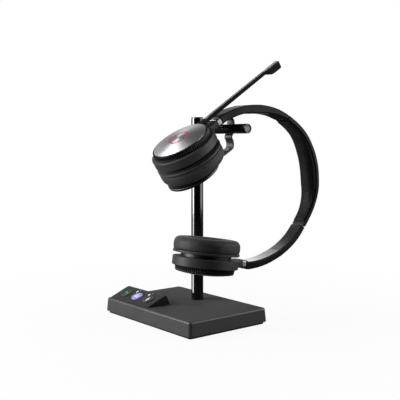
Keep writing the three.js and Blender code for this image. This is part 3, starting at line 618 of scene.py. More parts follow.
key_profile = fillet([(0, -1.9), (5.9, -1.9), (5.9, 0.5), (5.15, 0.5), (4.9, 0.42), (2.6, 0.36), (0, 0.34)], [0, 0.15, 0.3, 0.1, 0.1, 0, 0], 4, closed=False)
ring_profile = fillet([(5.2, 0.3), (5.62, 0.3), (5.62, 0.5), (5.2, 0.5)], 0.06, 2)
HANDSET = fillet([(-3.0, -1.5), (-3.0, 0.2), (-2.2, 1.3), (-1.0, 1.75), (1.0, 1.75), (2.2, 1.3), (3.0, 0.2), (3.0, -1.5), (1.5, -1.5), (1.4, -0.2), (0.7, 0.35), (-0.7, 0.35), (-1.4, -0.2), (-1.5, -1.5)], 0.45, 4)


def bow(r0, r1, a0, a1, cx=0.0, cy=0.0, n=18):
    a = [rad(a0 + (a1 - a0) * k / n) for k in range(n + 1)]
    return [(cx + r1 * math.cos(t), cy + r1 * math.sin(t)) for t in a] + [(cx + r0 * math.cos(t), cy + r0 * math.sin(t)) for t in reversed(a)]


def symbol(outlines, z0=0.2, z1=0.47):
    return together(*[prism(o, z0, z1) for o in outlines])


icons = {
    "call_key": [[(x * math.cos(rad(-38)) - y * math.sin(rad(-38)), x * math.sin(rad(-38)) + y * math.cos(rad(-38))) for x, y in HANDSET]],
    "assistant_key": [
        circle(0.95, 24, -1.1, 1.75), circle(0.8, 24, 1.45, 1.35),
        fillet([(-2.9, -2.2), (-2.9, -0.5), (-2.0, 0.4), (-0.3, 0.4), (0.55, -0.5), (0.55, -2.2)], 0.6, 4),
        fillet([(0.85, -2.2), (0.85, -0.5), (1.2, 0.1), (2.2, 0.1), (3.0, -0.6), (3.0, -2.2)], 0.45, 4),
    ],
    "mute_key": [
        fillet([(-0.9, -0.7), (0.9, -0.7), (0.9, 2.9), (-0.9, 2.9)], 0.88, 6), bow(1.45, 1.95, 180, 360, 0, 0.3),
        [(-0.25, -2.5), (0.25, -2.5), (0.25, -1.7), (-0.25, -1.7)], [(-1.2, -2.95), (1.2, -2.95), (1.2, -2.52), (-1.2, -2.52)],
    ],
}
for key, x in KEYS.items():
    place = to_slope(x, KEY_S)
    face, ring, print_ = {"call_key": (KEY_GREEN, GREEN_PRINT, GREEN_PRINT), "assistant_key": (VIOLET_KEY, VIOLET_RING, WHITE_PRINT), "mute_key": (KEY, WHITE_PRINT, WHITE_PRINT)}[key]
    piece(key + "_cap", lathe(key_profile, 72), key, face, [key], place)
    piece(key + "_ring", lathe(ring_profile, 72), key, ring, matrix=place)
    piece(key + "_symbol", symbol(icons[key]), key, print_, matrix=place)
for side, x in LIGHTS.items():
    place = to_slope(x, 19.4)
    piece("status_light_" + side + "_lens", prism(rounded_rect(1.6, 3.2, 0.75, 6), -1.75, 0.12), "stand", WHITE_LIGHT, ["status_light_" + side], place, bevel=0.1)
    piece("status_led_" + side, lathe(fillet([(0, -1.0), (0.6, -1.0), (0.6, 0.12), (0, 0.16)], [0, 0.1, 0.2, 0], 3, closed=False), 24), "stand", GREEN_LED if side == "left" else RED_LED, matrix=to_slope(x + 1.6, 22.6))

# ------------------------------------------------------------------ stand: pole, bar, dock hook
POLE = shift(POLE_X, POLE_Y, 0)
piece("pole_tube", lathe(fillet([(4.5, 15.7), (6.0, 15.7), (6.0, 196.2), (4.5, 196.2)], [0, 0.25, 0.15, 0], 3), 96), "stand", GLOSS, ["pole"], POLE)
piece("pole_cap_detail", lathe(fillet([(0, 190), (4.1, 190), (4.1, 196.5), (6.0, 196.5), (6.0, 197.3), (0, 197.3)], [0, 0.2, 0, 0.12, 0.4, 0], 4, closed=False), 96), "stand", GLOSS, ["pole_cap"], POLE)
piece("hanger_bar_tube", lathe(fillet([(3.2, 2.5), (4.5, 2.5), (4.5, 68.5), (3.2, 68.5)], [0, 0.2, 0.15, 0], 3), 96), "stand", GLOSS, ["hanger_bar"], ALONG_BAR)
piece("bar_end_cap_detail", lathe(fillet([(0, 60), (2.9, 60), (2.9, 68.8), (4.5, 68.8), (4.5, 70), (3.4, 70), (2.7, 69.5), (0, 69.42)], [0, 0.1, 0, 0.12, 0.45, 0.25, 0.3, 0], 4, closed=False), 96), "stand", GLOSS, ["bar_end_cap"], ALONG_BAR)
screw = raw_object("bar_screw_detail", lathe(fillet([(0, -12.1), (3.4, -12.1), (3.4, -10.1), (2.0, -10.1), (2.0, 22), (0, 22)], [0, 0.5, 0.15, 0.1, 0.2, 0], 4, closed=False), 48), ALONG_BAR)
boolean(screw, raw_object("c", prism([(1.45 * math.cos(rad(60 * k)), 1.45 * math.sin(rad(60 * k))) for k in range(6)], -13, -11.0), ALONG_BAR))
finish_piece(screw, "stand", STEEL, ["bar_screw"], matrix=ALONG_BAR, sharp=35)

HOOK_PATH = smooth_line([
    (25.7, 196.1), (25.7, 190), (25.75, 185.2), (25.0, 181.8), (23.1, 179.2), (22.7, 177.2), (23.9, 175.0), (24.95, 172.0), (24.75, 168.7), (23.2, 166.4),
    (18.1, 163.3), in_upper(33, 39.4), in_upper(27, 38.4), in_upper(21, 37.5), in_upper(15, 37.1), in_upper(6, 37.1), in_upper(-4, 37.1), in_upper(-15, 37.1),
], 150)


def strip_section(half, thick, r, n=3):
    return fillet([(-half, -thick / 2), (half, -thick / 2), (half, thick / 2), (-half, thick / 2)], min(r, half * 0.95, thick * 0.48), n)


def along_line(line, section, i, x=39.7):
    """A section whose first axis is X and whose second is the line's normal at point i."""
    a, b = line[max(i - 1, 0)], line[min(i + 1, len(line) - 1)]
    d = (b - a) / np.linalg.norm(b - a)
    n = np.array([d[1], -d[0]])
    c = line[i]
    return [(x + u, c[0] + n[0] * v, c[1] + n[1] * v) for u, v in section]


sections = []
dome_z = 191.1
for i, (y, z) in enumerate(HOOK_PATH):
    half = 5.0 if z < dome_z else max(math.sqrt(max(25 - (z - dome_z) ** 2, 0)), 0.55)
    if i == 0:
        half = 0.6
    sections.append(along_line(HOOK_PATH, strip_section(half, 1.6, 0.4), i))
# more sections where the tab's end is round
top = [s for s, (y, z) in zip(sections, HOOK_PATH) if z < dome_z]
dome = []
for a in range(2, 91, 8):
    z = dome_z + 5 * math.cos(rad(a))
    half = 5 * math.sin(rad(a))
    dome.append([(39.7 + u, 25.7 + v, z) for u, v in [(-p, q) for p, q in strip_section(max(half, 0.3), 1.6, 0.4)][::1]])
dome = [[(39.7 - (x - 39.7), y, z) for x, y, z in s] for s in dome]
hook = raw_object("dock_hook_detail", loft([[(x, 25.7 + (y - 25.7), z) for x, y, z in s] for s in dome] + top))
boolean(hook, raw_object("c", moved(prism(circle(1.3, 24), -4, 4), shift(39.7, 25.7, 187.2) @ turn(90, "X"))))


# the upward faces of the hook's bent lower end get the painted highlight
def hook_pick(c, n):
    return 1 if c.z < 168.5 and n.z > 0.3 and abs(c.x - 39.7) < 4.4 else 0


finish_piece(hook, "stand", [HOOK, HOOK_PAINTED_HIGHLIGHT], ["dock_hook"], pick=hook_pick, sharp=50)
hs = shift(39.7, 24.55, 187.2) @ turn(90, "X")
head = raw_object("hook_screw_detail", lathe(fillet([(0, -3.2), (2.3, -3.2), (2.3, -2.3), (0.9, -2.3), (0.9, -0.6), (0, -0.6)], [0, 0.1, 0.1, 0.05, 0.1, 0], 3, closed=False), 36), shift(39.7, 24.55, 187.2) @ turn(90, "X"))
finish_piece(head, "stand", STEEL, ["hook_screw"], matrix=hs)
tilt = math.degrees(math.atan2(163.3 - 166.4, 18.1 - 23.2)) + 180
CONTACT = shift(39.7, 20.05, 165.95) @ turn(tilt, "X")
piece("charge_contact_plate", prism(rounded_rect(7, 5.6, 0.8, 5), -0.25, 0.25), "stand", CONTACT_FACE, ["charge_contact"], CONTACT, bevel=0.1)
piece("rest_disc_detail", lathe(fillet([(0, -35.9), (25.5, -35.9), (25.5, -33.4), (0, -33.4)], [0, 0.7, 0.7, 0], 5, closed=False), 120), "stand", HOOK, ["rest_disc"], UPPER @ shift(0, -4.6, 0))


# ------------------------------------------------------------------ the two cups
def ribs(count, depth, z0, z1):
    def radial(a, r, z):
        if r < 26.9 or not z0 < z < z1:
            return 0.0
        fade = min(1.0, (z - z0) / 0.35, (z1 - z) / 0.35)
        w = 0.5 + 0.5 * math.cos(a * count)
        return -depth * fade * (1 - w**0.7)
    return radial


# picks the outer faces of the rib crests, which get the painted highlight
def rib_pick(c, n):
    return 1 if -4.7 < c.z < -1.1 and math.hypot(c.x, c.y) > 28.1 - (c.z + 4.5) * 0.175 - 0.2 and n.to_2d().length > 0.9 and n.to_2d().dot(c.to_2d()) > 0 else 0


RING_PROFILE = fillet([(20.9, -5.25), (28.3, -5.25), (28.15, -4.6), (28.1, -4.5), (27.95, -3.7), (27.8, -2.9), (27.66, -2.1), (27.55, -1.6), (27.4, -0.5), (26.6, -0.5), (26.6, -1.95), (20.9, -1.95)],
                      [0.1, 0.2, 0, 0, 0, 0, 0, 0, 0.25, 0.15, 0.1, 0.1], 3)
PLATE_MARKS = [(-0.7, 13.8), (-1.6, 19.7), (1.6, 19.9), (-1.6, -18.6)]


def crown(r):
    return 2.6 * (1 - (r / 25.6) ** 2)


def cup(prefix, matrix, body, plate_material):
    up = prefix == "upper"
    hub = 9.9 if up else 0.0
    dome = [(25.6 - (25.6 - hub) * k / 12, crown(25.6 - (25.6 - hub) * k / 12)) for k in range(13)]
    prof = [(hub, -1.6), (26.1, -1.6), (26.2, -1.5), (26.2, -0.6), (26.14, -0.3), (25.95, -0.1)] + dome
    if up:
        prof = prof[:-1] + [(hub + 0.12, crown(hub + 0.12)), (hub, crown(hub) - 0.12)]
    plate = raw_object(prefix + "_cover_plate_detail", lathe(prof, 144), matrix)
    marks = PLATE_MARKS if up else []
    if marks:
        boolean(plate, raw_object("c", together(*[moved(prism(circle(0.42, 14), -0.9, 3), shift(x, y, crown(math.hypot(x, y)))) for x, y in marks]), matrix))
    # the walls of the small plate holes get painted shade
    pick = (lambda c, n: 1 if any(math.hypot(c.x - x, c.y - y) < 0.6 for x, y in marks) and c.z < crown(math.hypot(c.x, c.y)) - 0.1 and c.z > -1.0 else 0) if marks else None
    finish_piece(plate, body, [plate_material, HOLE_PAINTED_SHADE], [prefix + "_cover_plate"], matrix=matrix, pick=pick, sharp=40)

    housing = raw_object(prefix + "_housing_detail", lathe(fillet([
        (20.5, -1.9), (20.5, -5.6), (31.0, -5.6), (31.0, -14), (29.2, -14), (29.2, -7.2), (18.5, -7.2), (18.5, -1.9)], [0.1, 0.1, 0.75, 0.7, 0.2, 0.2, 0.1, 0.1], 5), 160), matrix)
    stub_frame = matrix @ shift(0, 0, -9.8) @ Matrix(((1, 0, 0, 0), (0, 0, 1, 0), (0, -1, 0, 0), (0, 0, 0, 1)))
    stub = []
    for y, grow in ((29.9, 0.0), (32.0, 0.0), (39.6, 0.0), (40.0, -0.12), (40.3, -0.4)):
        stub.append([(px, py, y) for px, py in rounded_rect(14.4 + 2 * grow, 7.8 + 2 * grow, 2.2 + grow, 6)])
    boolean(housing, raw_object("c", loft(stub), stub_frame), "UNION")
    boolean(housing, raw_object("c", prism(circle(2.6, 32), 33, 43), stub_frame))
    finish_piece(housing, body, CHARCOAL, [prefix + "_housing"], matrix=matrix, sharp=38)
    piece(prefix + "_inner_cover_detail", lathe(fillet([
        (14, -12.2), (28.9, -12.2), (28.9, -13.7), (23.6, -13.9), (23.75, -16), (23.7, -17.4), (20.5, -17.4), (20.5, -13.7), (14, -13.7)], [0.2, 0.2, 0.2, 0.4, 0, 0.3, 0.2, 0.3, 0.2], 4), 120), body, BLACK, [prefix + "_inner_cover"], matrix)
    cushion = prefix + "_cushion"
    piece(prefix + "_carrier_detail", lathe(fillet([
        (24.1, -17.7), (31.3, -17.7), (31.3, -19.9), (27.6, -19.9), (27.6, -21.6), (13.4, -21.6), (13.4, -20.2), (24.1, -20.2)], [0.2, 0.5, 0.5, 0.2, 0.3, 0.2, 0.2, 0.3], 4), 140), cushion, CHARCOAL, [prefix + "_cushion_carrier"], matrix)
    cloth = [(0, -26.9), (6, -26.87), (13.2, -26.7), (13.8, -26.6), (13.8, -26.2), (0, -26.2)]
    piece(prefix + "_ear_cloth_detail", lathe(fillet(cloth, [0, 0, 0.1, 0.1, 0.1, 0], 2, closed=False), 72), cushion, CLOTH, [prefix + "_ear_cloth"], matrix)


cup("upper", UPPER, "upper_cup", PLATE_UPPER)
cup("lower", LOWER, "lower_cup", PLATE_LOWER)
piece("light_ring_detail", lathe(fillet([(8.5, -7.1), (9.6, -7.1), (9.6, 2.18), (8.5, 2.26)], [0.1, 0.1, 0.25, 0.25], 3), 96), "upper_cup", RED_RING, ["light_ring"], UPPER)
piece("multifunction_button_detail", lathe(fillet([(0, -6.2), (2.4, -6.2), (2.4, 0.2), (8.2, 0.2), (8.2, crown(8.2) - 0.1), (5.5, crown(5.5) - 0.1), (2.7, crown(2.7) - 0.1), (0, 2.5)], [0, 0.3, 0.2, 0.2, 0.3, 0, 0, 0], 4, closed=False), 96), "button", PLATE_UPPER, ["multifunction_button"], UPPER)
piece("lower_trim_ring_detail", lathe(RING_PROFILE, 84 * 8, ribs(84, 0.55, -4.9, -0.9)), "lower_cup", [RIBBED, RIB_CREST_HIGHLIGHT], ["lower_trim_ring"], LOWER, sharp=60, pick=rib_pick)

# ------------------------------------------------------------------ boom
ring = raw_object("boom_ring_detail", lathe(RING_PROFILE, 84 * 8, ribs(84, 0.55, -4.9, -0.9)), BOOM)
boolean(ring, raw_object("c", cuboid(-3.15, 3.15, 26.85, 33, -4.65, 2), BOOM))
finish_piece(ring, "boom", [RIBBED, RIB_CREST_HIGHLIGHT], ["boom_ring"], matrix=BOOM, sharp=60, pick=rib_pick)


def boom_section(half, z_top, z_bot, r=0.7, inlay=0.0, n=3):
    pts = [(-half, z_bot), (half, z_bot), (half, z_top), (-half, z_top)]
    radii = [r] * 4
    if inlay:
        w = half * 0.62
        pts = [(-half, z_bot), (half, z_bot), (half, z_top), (w + 0.12, z_top), (w, z_top - inlay), (-w, z_top - inlay), (-w - 0.12, z_top), (-half, z_top)]
        radii = [r, r, min(r, 0.35), 0, 0, 0, 0, min(r, 0.35)]
        out = []
        for p, q in zip(pts, radii):
            out.append((p, q))
        return fillet(pts, radii, n)
    return fillet(pts, radii, n)


sections = []
for y, half, zt, zb, inlay in (
    (26.9, 2.6, 0.2, -4.4, 0.001), (27.0, 2.9, 0.28, -4.55, 0.001), (27.3, 3.05, 0.3, -4.6, 0.03), (28.2, 3.1, 0.3, -4.6, 0.1), (30.4, 3.1, 0.3, -4.6, 0.1), (31.2, 3.05, 0.32, -4.4, 0.1),
    (32.2, 2.8, 0.38, -3.9, 0.1), (33.8, 2.4, 0.45, -3.4, 0.1), (36.5, 2.1, 0.6, -3.15, 0.1), (45, 2.02, 0.9, -3.0, 0.1), (70, 2.0, 1.0, -2.8, 0.1), (95, 2.0, 1.1, -2.5, 0.1), (113.6, 2.0, 1.2, -2.3, 0.1), (114.5, 2.0, 1.2, -2.3, 0.1),
):
    sections.append([(x, y, z) for x, z in boom_section(half, zt, zb, 0.7, inlay)])
piece("boom_arm_detail", loft(sections), "boom", [BOOM_BLACK, BOOM_STRIP], ["boom_arm"], BOOM, sharp=40, pick=lambda c, n: 1 if n.z > 0.9 and abs(c.x) < 1.3 and c.y > 33 and c.z > 0.2 else 0)
sections = []
for y, half, zt, zb in (
    (114.8, 2.0, 1.3, -2.3), (115.7, 2.1, 1.3, -2.45), (117.3, 2.35, 1.3, -3.3), (119.8, 2.6, 1.3, -4.9), (121.8, 2.75, 1.3, -5.9), (123.8, 2.8, 1.3, -6.5), (126.3, 2.8, 1.3, -6.7),
    (130.3, 2.8, 1.3, -6.7), (133.8, 2.8, 1.28, -6.68), (135.1, 2.72, 1.2, -6.6), (135.8, 2.5, 1.0, -6.4), (136.2, 2.1, 0.6, -6.0), (136.3, 1.6, 0.0, -5.5),
):
    sections.append([(x, y, z) for x, z in boom_section(half, zt, zb, min(1.15, half * 0.6), 0, 4)])
capsule = raw_object("microphone_capsule_detail", loft(sections), BOOM)
slots = [moved(prism(rounded_rect(0.7, 4.4, 0.34, 4), -8.0, -6.1), shift(x, 129.6, 0)) for x in (-1.3, 0.0, 1.3)]
boolean(capsule, raw_object("c", together(*slots), BOOM))
# index 2: upward faces, pale grey that is partly a strip and partly a painted highlight; index 1: slot walls and floors
# in painted shade
finish_piece(capsule, "boom", [BOOM_BLACK, HOLE_PAINTED_SHADE, CAPSULE_TOP_STRIP_AND_HIGHLIGHT], ["microphone_capsule"], matrix=BOOM, sharp=45, pick=lambda c, n: 2 if n.z > 0.3 and c.z > 0.0 and c.y < 135.6 else 1 if c.z < -5.9 and (abs(n.z) < 0.5 and abs(abs(c.x) - 2.8) > 0.6 and 127.2 < c.y < 132.0 or abs(c.z + 6.1) < 0.02) else 0)

# ------------------------------------------------------------------ headband
UPPER_ARC, LOWER_ARC = (64.16, 129.63, 74.5), (55.4, 142.08, 85.0)
UPPER_NOTCH, LOWER_NOTCH = 66.1, -40.9
N_ARM = 110
upper_outer = smooth_line([in_upper(45.9, 5.9), (9.7, 198.5), (15.8, 201.1), (22.0, 203.5), (28.2, 205.4), (34.6, 206.8), (41, 208.0), (54.1, 208.7), (67.7, 207.7), (81.9, 204.6), on_arc(UPPER_ARC, 76.3, UPPER_NOTCH + 0.5)], N_ARM)
upper_inner = smooth_line([in_upper(45.9, 13.7), (14.0, 191.9), (18.7, 194.3), (23.3, 196.0), (28.3, 197.8), (34.6, 199.4), (41.1, 200.4), (54.2, 200.3), (66.3, 200.6), (79.8, 198.9), on_arc(UPPER_ARC, 71.4, UPPER_NOTCH + 0.5)], N_ARM)
lower_outer = smooth_line([in_lower(45.9, 5.9), (42.3, 49.9), (55.8, 50.6), (69.6, 53.1), (83.7, 57.6), (90.9, 60.8), (98.2, 64.7), (105.6, 69.6), (112.9, 75.8), on_arc(LOWER_ARC, 87.0, LOWER_NOTCH - 0.5)], N_ARM)
lower_inner = offset_line(lower_outer, lambda s: -(7.8 - 2.4 * s))
lower_inner[0] = in_lower(45.9, 13.7)
lower_inner[-1] = on_arc(LOWER_ARC, 81.8, LOWER_NOTCH - 0.5)
frame_outer = smooth_line([on_arc(UPPER_ARC, 76.3, UPPER_NOTCH - 0.5), (103.2, 195.0), (110.8, 190.2), (119.0, 183.6), (126.9, 174.3), (134.4, 161.3), (138.9, 147.4), (140.4, 133.5), (139.8, 121.0), (136.5, 109.3), (130.8, 97.8), on_arc(LOWER_ARC, 87.0, LOWER_NOTCH + 0.5)], 170)
frame_inner = offset_line(frame_outer, 4.5)


def band_section(half, thick, r_out, r_in, groove=0.0, n=4):
    """Width along x and thickness along y, the outer face at +y, with a fine parting line near each edge of it."""
    h = thick / 2
    if groove:
        g = half - 2.3
        pts = [(-half, -h), (half, -h), (half, h), (g + 0.2, h), (g + 0.1, h - groove), (g - 0.1, h - groove), (g - 0.2, h), (-g + 0.2, h), (-g + 0.1, h - groove), (-g - 0.1, h - groove), (-g - 0.2, h), (-half, h)]
        return fillet(pts, [r_in, r_in, r_out, 0.05, 0, 0, 0.05, 0.05, 0, 0, 0.05, r_out], n)
    return fillet([(-half, -h), (half, -h), (half, h), (-half, h)], [r_in, r_in, r_out, r_out], n)


def band_loft(outer, inner, half_at, r_out, r_in, groove=0.0, end_round=0.35):
    sections = []
    last = len(outer) - 1
    d0 = np.linalg.norm(outer[1] - outer[0])
    stations = [(0, end_round * 0.9), (0, end_round * 0.3), (0, 0.0)] + [(i, 0.0) for i in range(1, last)] + [(last, 0.0), (last, end_round * 0.3), (last, end_round * 0.9)]
    for pos, (i, shrink) in enumerate(stations):
        o, q = outer[i].copy(), inner[i].copy()
        # the first and last rings step outwards so that the ends are a little rounded
        if i == 0 and pos < 3:
            back = (outer[1] - outer[0]) / d0
            step = {0: 0.0, 1: 0.12, 2: 0.42}[pos] * end_round / 0.35
            o, q = o + back * step, q + back * step
        if i == last:
            back = (outer[last - 1] - outer[last]) / np.linalg.norm(outer[last - 1] - outer[last])
            step = {0: 0.42, 1: 0.12, 2: 0.0}[pos - (len(stations) - 3)] * end_round / 0.35
            o, q = o + back * step, q + back * step
        c, n = (o + q) / 2, (o - q)
        thick = np.linalg.norm(n)
        n = n / thick
        half = half_at(i / last, c) - shrink
        s = band_section(half, thick - 2 * shrink, r_out, r_in, groove if 2 < pos < len(stations) - 3 else 0.03 if groove else 0)
        sections.append([(HEADSET_X + u, c[0] + n[0] * v, c[1] + n[1] * v) for u, v in s])
    return loft(sections)


def arc_strip(arc, thick, width, deg0, deg1, steps=60):
    r = arc[2]
    a = [rad(deg0 + (deg1 - deg0) * k / steps) for k in range(steps + 1)]
    return loft([[(HEADSET_X + u, arc[0] + (r + v) * math.cos(t), arc[1] + (r + v) * math.sin(t)) for u, v in fillet([(-width / 2, -thick / 2), (width / 2, -thick / 2), (width / 2, thick / 2), (-width / 2, thick / 2)], 0.25 * thick, 2)] for t in a])


def ease(a, b, v):
    t = min(max((v - a) / (b - a), 0), 1)
    return t * t * (3 - 2 * t)


upper_y0, lower_y0 = in_upper(45.9, 9)[0], in_lower(45.9, 9)[0]
upper_half = lambda s, c: 7.4 + 2.1 * ease(upper_y0 + 1, 34, c[0])
LOWER_HALF, TAPER_TOP, TAPER_END = 7.9, 128, 98
lower_half = lambda s, c: 7.4 + (LOWER_HALF - 7.4) * ease(lower_y0 + 1, 62, c[0])
band_half = lambda s, c: 9.5 - (9.5 - LOWER_HALF) * min(max((TAPER_TOP - c[1]) / (TAPER_TOP - TAPER_END), 0), 1)
pin_frame = {"upper": UPPER, "lower": LOWER}
for prefix, outer, inner, half, arc, notch, body in (("upper", upper_outer, upper_inner, upper_half, UPPER_ARC, UPPER_NOTCH, "upper_arm"), ("lower", lower_outer, lower_inner, lower_half, LOWER_ARC, LOWER_NOTCH, "lower_arm")):
    arm = raw_object(prefix + "_arm_detail", band_loft(outer, inner, half, 1.25, 1.25, 0.22))
    span = (notch - 2, notch + 7) if prefix == "upper" else (notch - 6.4, notch + 2)
    boolean(arm, raw_object("c", arc_strip(arc, 1.8, 13.6, *span)))
    hole = pin_frame[prefix] @ shift(0, 0, -9.8) @ Matrix(((1, 0, 0, 0), (0, 0, 1, 0), (0, -1, 0, 0), (0, 0, 0, 1)))
    boolean(arm, raw_object("c", prism(circle(2.5, 32), 41, 53), hole))
    finish_piece(arm, body, CHARCOAL_ARM, [prefix + "_arm"], sharp=45)
    collar = []
    for y, grow in ((40.7, -0.4), (40.8, -0.14), (41.1, 0.0), (45.1, 0.0), (45.4, -0.14), (45.5, -0.4)):
        collar.append([(px, py, y) for px, py in rounded_rect(14.8 + 2 * grow, 8.2 + 2 * grow, 2.4 + grow, 8)])
    ob = raw_object(prefix + "_collar_detail", loft(collar), hole)
    boolean(ob, raw_object("c", prism(circle(2.5, 32), 39, 48), hole))
    finish_piece(ob, body, SILVER, [prefix + "_collar"], sharp=45)
    strip = (UPPER_ARC, 1.2, 13, UPPER_NOTCH - 19.5, UPPER_NOTCH + 6.6) if prefix == "upper" else (LOWER_ARC, 1.2, 13, LOWER_NOTCH - 6.0, LOWER_NOTCH + 17)
    piece(prefix + "_slider_detail", arc_strip(*strip), body, STEEL, [prefix + "_slider"], sharp=45)

band = raw_object("headband_frame_detail", band_loft(frame_outer, frame_inner, band_half, 1.1, 0.6, 0.22))
boolean(band, raw_object("c", arc_strip(UPPER_ARC, 1.8, 13.6, UPPER_NOTCH - 20.3, UPPER_NOTCH + 2)))
boolean(band, raw_object("c", arc_strip(LOWER_ARC, 1.8, 13.6, LOWER_NOTCH - 2, LOWER_NOTCH + 17.8)))
finish_piece(band, "headband", CHARCOAL_ARM, ["headband_frame"], sharp=45)


# ------------------------------------------------------------------ padded pieces
def inflate(part, name, pinned, pressure, cap, frames=20, scale=12.0, stiff=12.0):
    """Blender's cloth with pressure, run on the padded skin at a larger scale, then brought back; no point moves further than cap (mm)."""
    verts, faces = part
    start = np.array(verts, float)
    me = bpy.data.meshes.new(name + "_sim")
    me.from_pydata([tuple(v * MM * scale) for v in start], [], faces)
    bm = bmesh.new()
    bm.from_mesh(me)
    bmesh.ops.recalc_face_normals(bm, faces=bm.faces)
    bm.to_mesh(me)
    bm.free()
    ob = bpy.data.objects.new(name + "_sim", me)
    bpy.context.scene.collection.objects.link(ob)
    group = ob.vertex_groups.new(name="pin")
    for i, w in enumerate(pinned):
        if w > 0:
            group.add([i], float(w), "REPLACE")
    m = ob.modifiers.new("cloth", "CLOTH")
    c = m.settings
    c.quality, c.mass = 6, 0.05
    c.tension_stiffness = c.compression_stiffness = stiff
    c.shear_stiffness, c.bending_stiffness = stiff * 0.5, 0.6
    c.tension_damping = c.compression_damping = 12
    c.air_damping = 3
    c.use_pressure, c.uniform_pressure_force = True, pressure
    c.effector_weights.gravity = 0.0
    c.vertex_group_mass = "pin"
    c.pin_stiffness = 4.0
    m.collision_settings.use_collision = False
    m.collision_settings.use_self_collision = False
    m.point_cache.frame_start, m.point_cache.frame_end = 1, frames
    scene = bpy.context.scene
    keep = (scene.frame_start, scene.frame_end, scene.frame_current)
    scene.frame_start, scene.frame_end = 1, frames
    for f in range(1, frames + 1):
        scene.frame_set(f)
    dg = bpy.context.evaluated_depsgraph_get()
    e = ob.evaluated_get(dg)
    done = e.to_mesh()
    out = np.empty(len(start) * 3)
    done.vertices.foreach_get("co", out)
    e.to_mesh_clear()
    out = out.reshape(-1, 3) / MM / scale
    bpy.data.objects.remove(ob)
    scene.frame_set(1)
    scene.frame_start, scene.frame_end = keep[0], keep[1]
    step = out - start
    far = np.linalg.norm(step, axis=1)
    k = np.minimum(1, cap / np.maximum(far, 1e-9))
    print(f"{name}: moved up to {far.max():.2f} mm, mean {far.mean():.2f} mm, capped at {cap} mm")
    return start + step * k[:, None], faces


def ear_cushion(prefix, matrix, seed):
    """A ring of foam in leatherette: a side wall sewn to the face at the outer edge, and the inner wall tucked into the carrier."""
    seg, n_line = 132, 46
    # closed outline of the skin, a little slack; the sewn edge between wall and face is at index SEAM
    wall = [(30.55, -20.35), (31.0, -21.6), (31.15, -23.6), (31.1, -25.8), (30.9, -27.9), (30.6, -29.2)]
    face = [(30.35, -29.75), (29.3, -31.0), (27.0, -31.7), (23.5, -31.85), (20.0, -31.7), (17.2, -30.9), (15.4, -29.2), (14.75, -27.0), (14.6, -24.5), (14.6, -22.2)]
    back = [(15.5, -22.0), (21, -21.95), (27.0, -21.95), (27.95, -21.6), (28.1, -20.5), (29.2, -20.35)]
    def spaced(points, n):
        return [tuple(p) for p in smooth_line(points, n)]
    line = spaced(wall, 13) + spaced(face, 28) + back
    seam = 13.5
    m = len(line)
    verts, faces = [], []
    for k in range(seg):
        a = 2 * math.pi * k / seg
        for r, z in line:
            verts.append((r * math.cos(a), r * math.sin(a), z))
    for k in range(seg):
        j = (k + 1) % seg
        for i in range(m):
            i2 = (i + 1) % m
            faces.append((k * m + i, j * m + i, j * m + i2, k * m + i2))
    pinned = []
    first_back = m - len(back)
    for k in range(seg):
        for i in range(m):
            w = 1.0 if i >= first_back or i == 0 else 0.0
            if i in (13, 14):
                w = 0.55
            pinned.append(w)
    co, faces = inflate((verts, faces), prefix + "_ear_cushion", pinned, 9.0, 0.75)
    out = []
    rng = Vector((seed * 3.1, seed * 1.7, seed * 2.3))
    for idx, p in enumerate(co):
        k, i = divmod(idx, m)
        a = 2 * math.pi * k / seg
        r, z = math.hypot(p[0], p[1]), p[2]
        if i < first_back:
            near = math.exp(-((i - seam) / 0.9) ** 2)
            pull = 0.42 * near                                     # the sewn edge lies in a groove
            pull += 0.10 * math.exp(-((i - seam) / 2.6) ** 2) * (0.5 + 0.5 * math.cos(a * 88))  # gathered by the stitches
            d = Vector((math.cos(a) * 3.2, math.sin(a) * 3.2, z * 0.16)) + rng
            pull += 0.16 * noise.noise(d) + 0.05 * noise.noise(d * 3.7)
            dirn = (math.cos(rad(45)), -math.sin(rad(45))) if near > 0.05 else (0.9 if i < seam else 0.3, -0.25 if i < seam else -0.95)
            if i > 30:
                dirn = (-0.6, -0.4)
            r -= pull * dirn[0]
            z -= pull * dirn[1]
            z = max(z, -32.1)
            r = min(r, 31.7)
        out.append((r * math.cos(a), r * math.sin(a), z))
    ob = raw_object(prefix + "_ear_cushion_padded", (out, faces), matrix)
    s = ob.modifiers.new("round", "SUBSURF")
    s.levels = s.render_levels = 1
    bake(ob)
    finish_piece(ob, prefix + "_cushion", LEATHER, [prefix + "_ear_cushion"], sharp=0, matrix=matrix, weighted=False)
    return ob


ear_cushion("upper", UPPER, 1)
ear_cushion("lower", LOWER, 2)


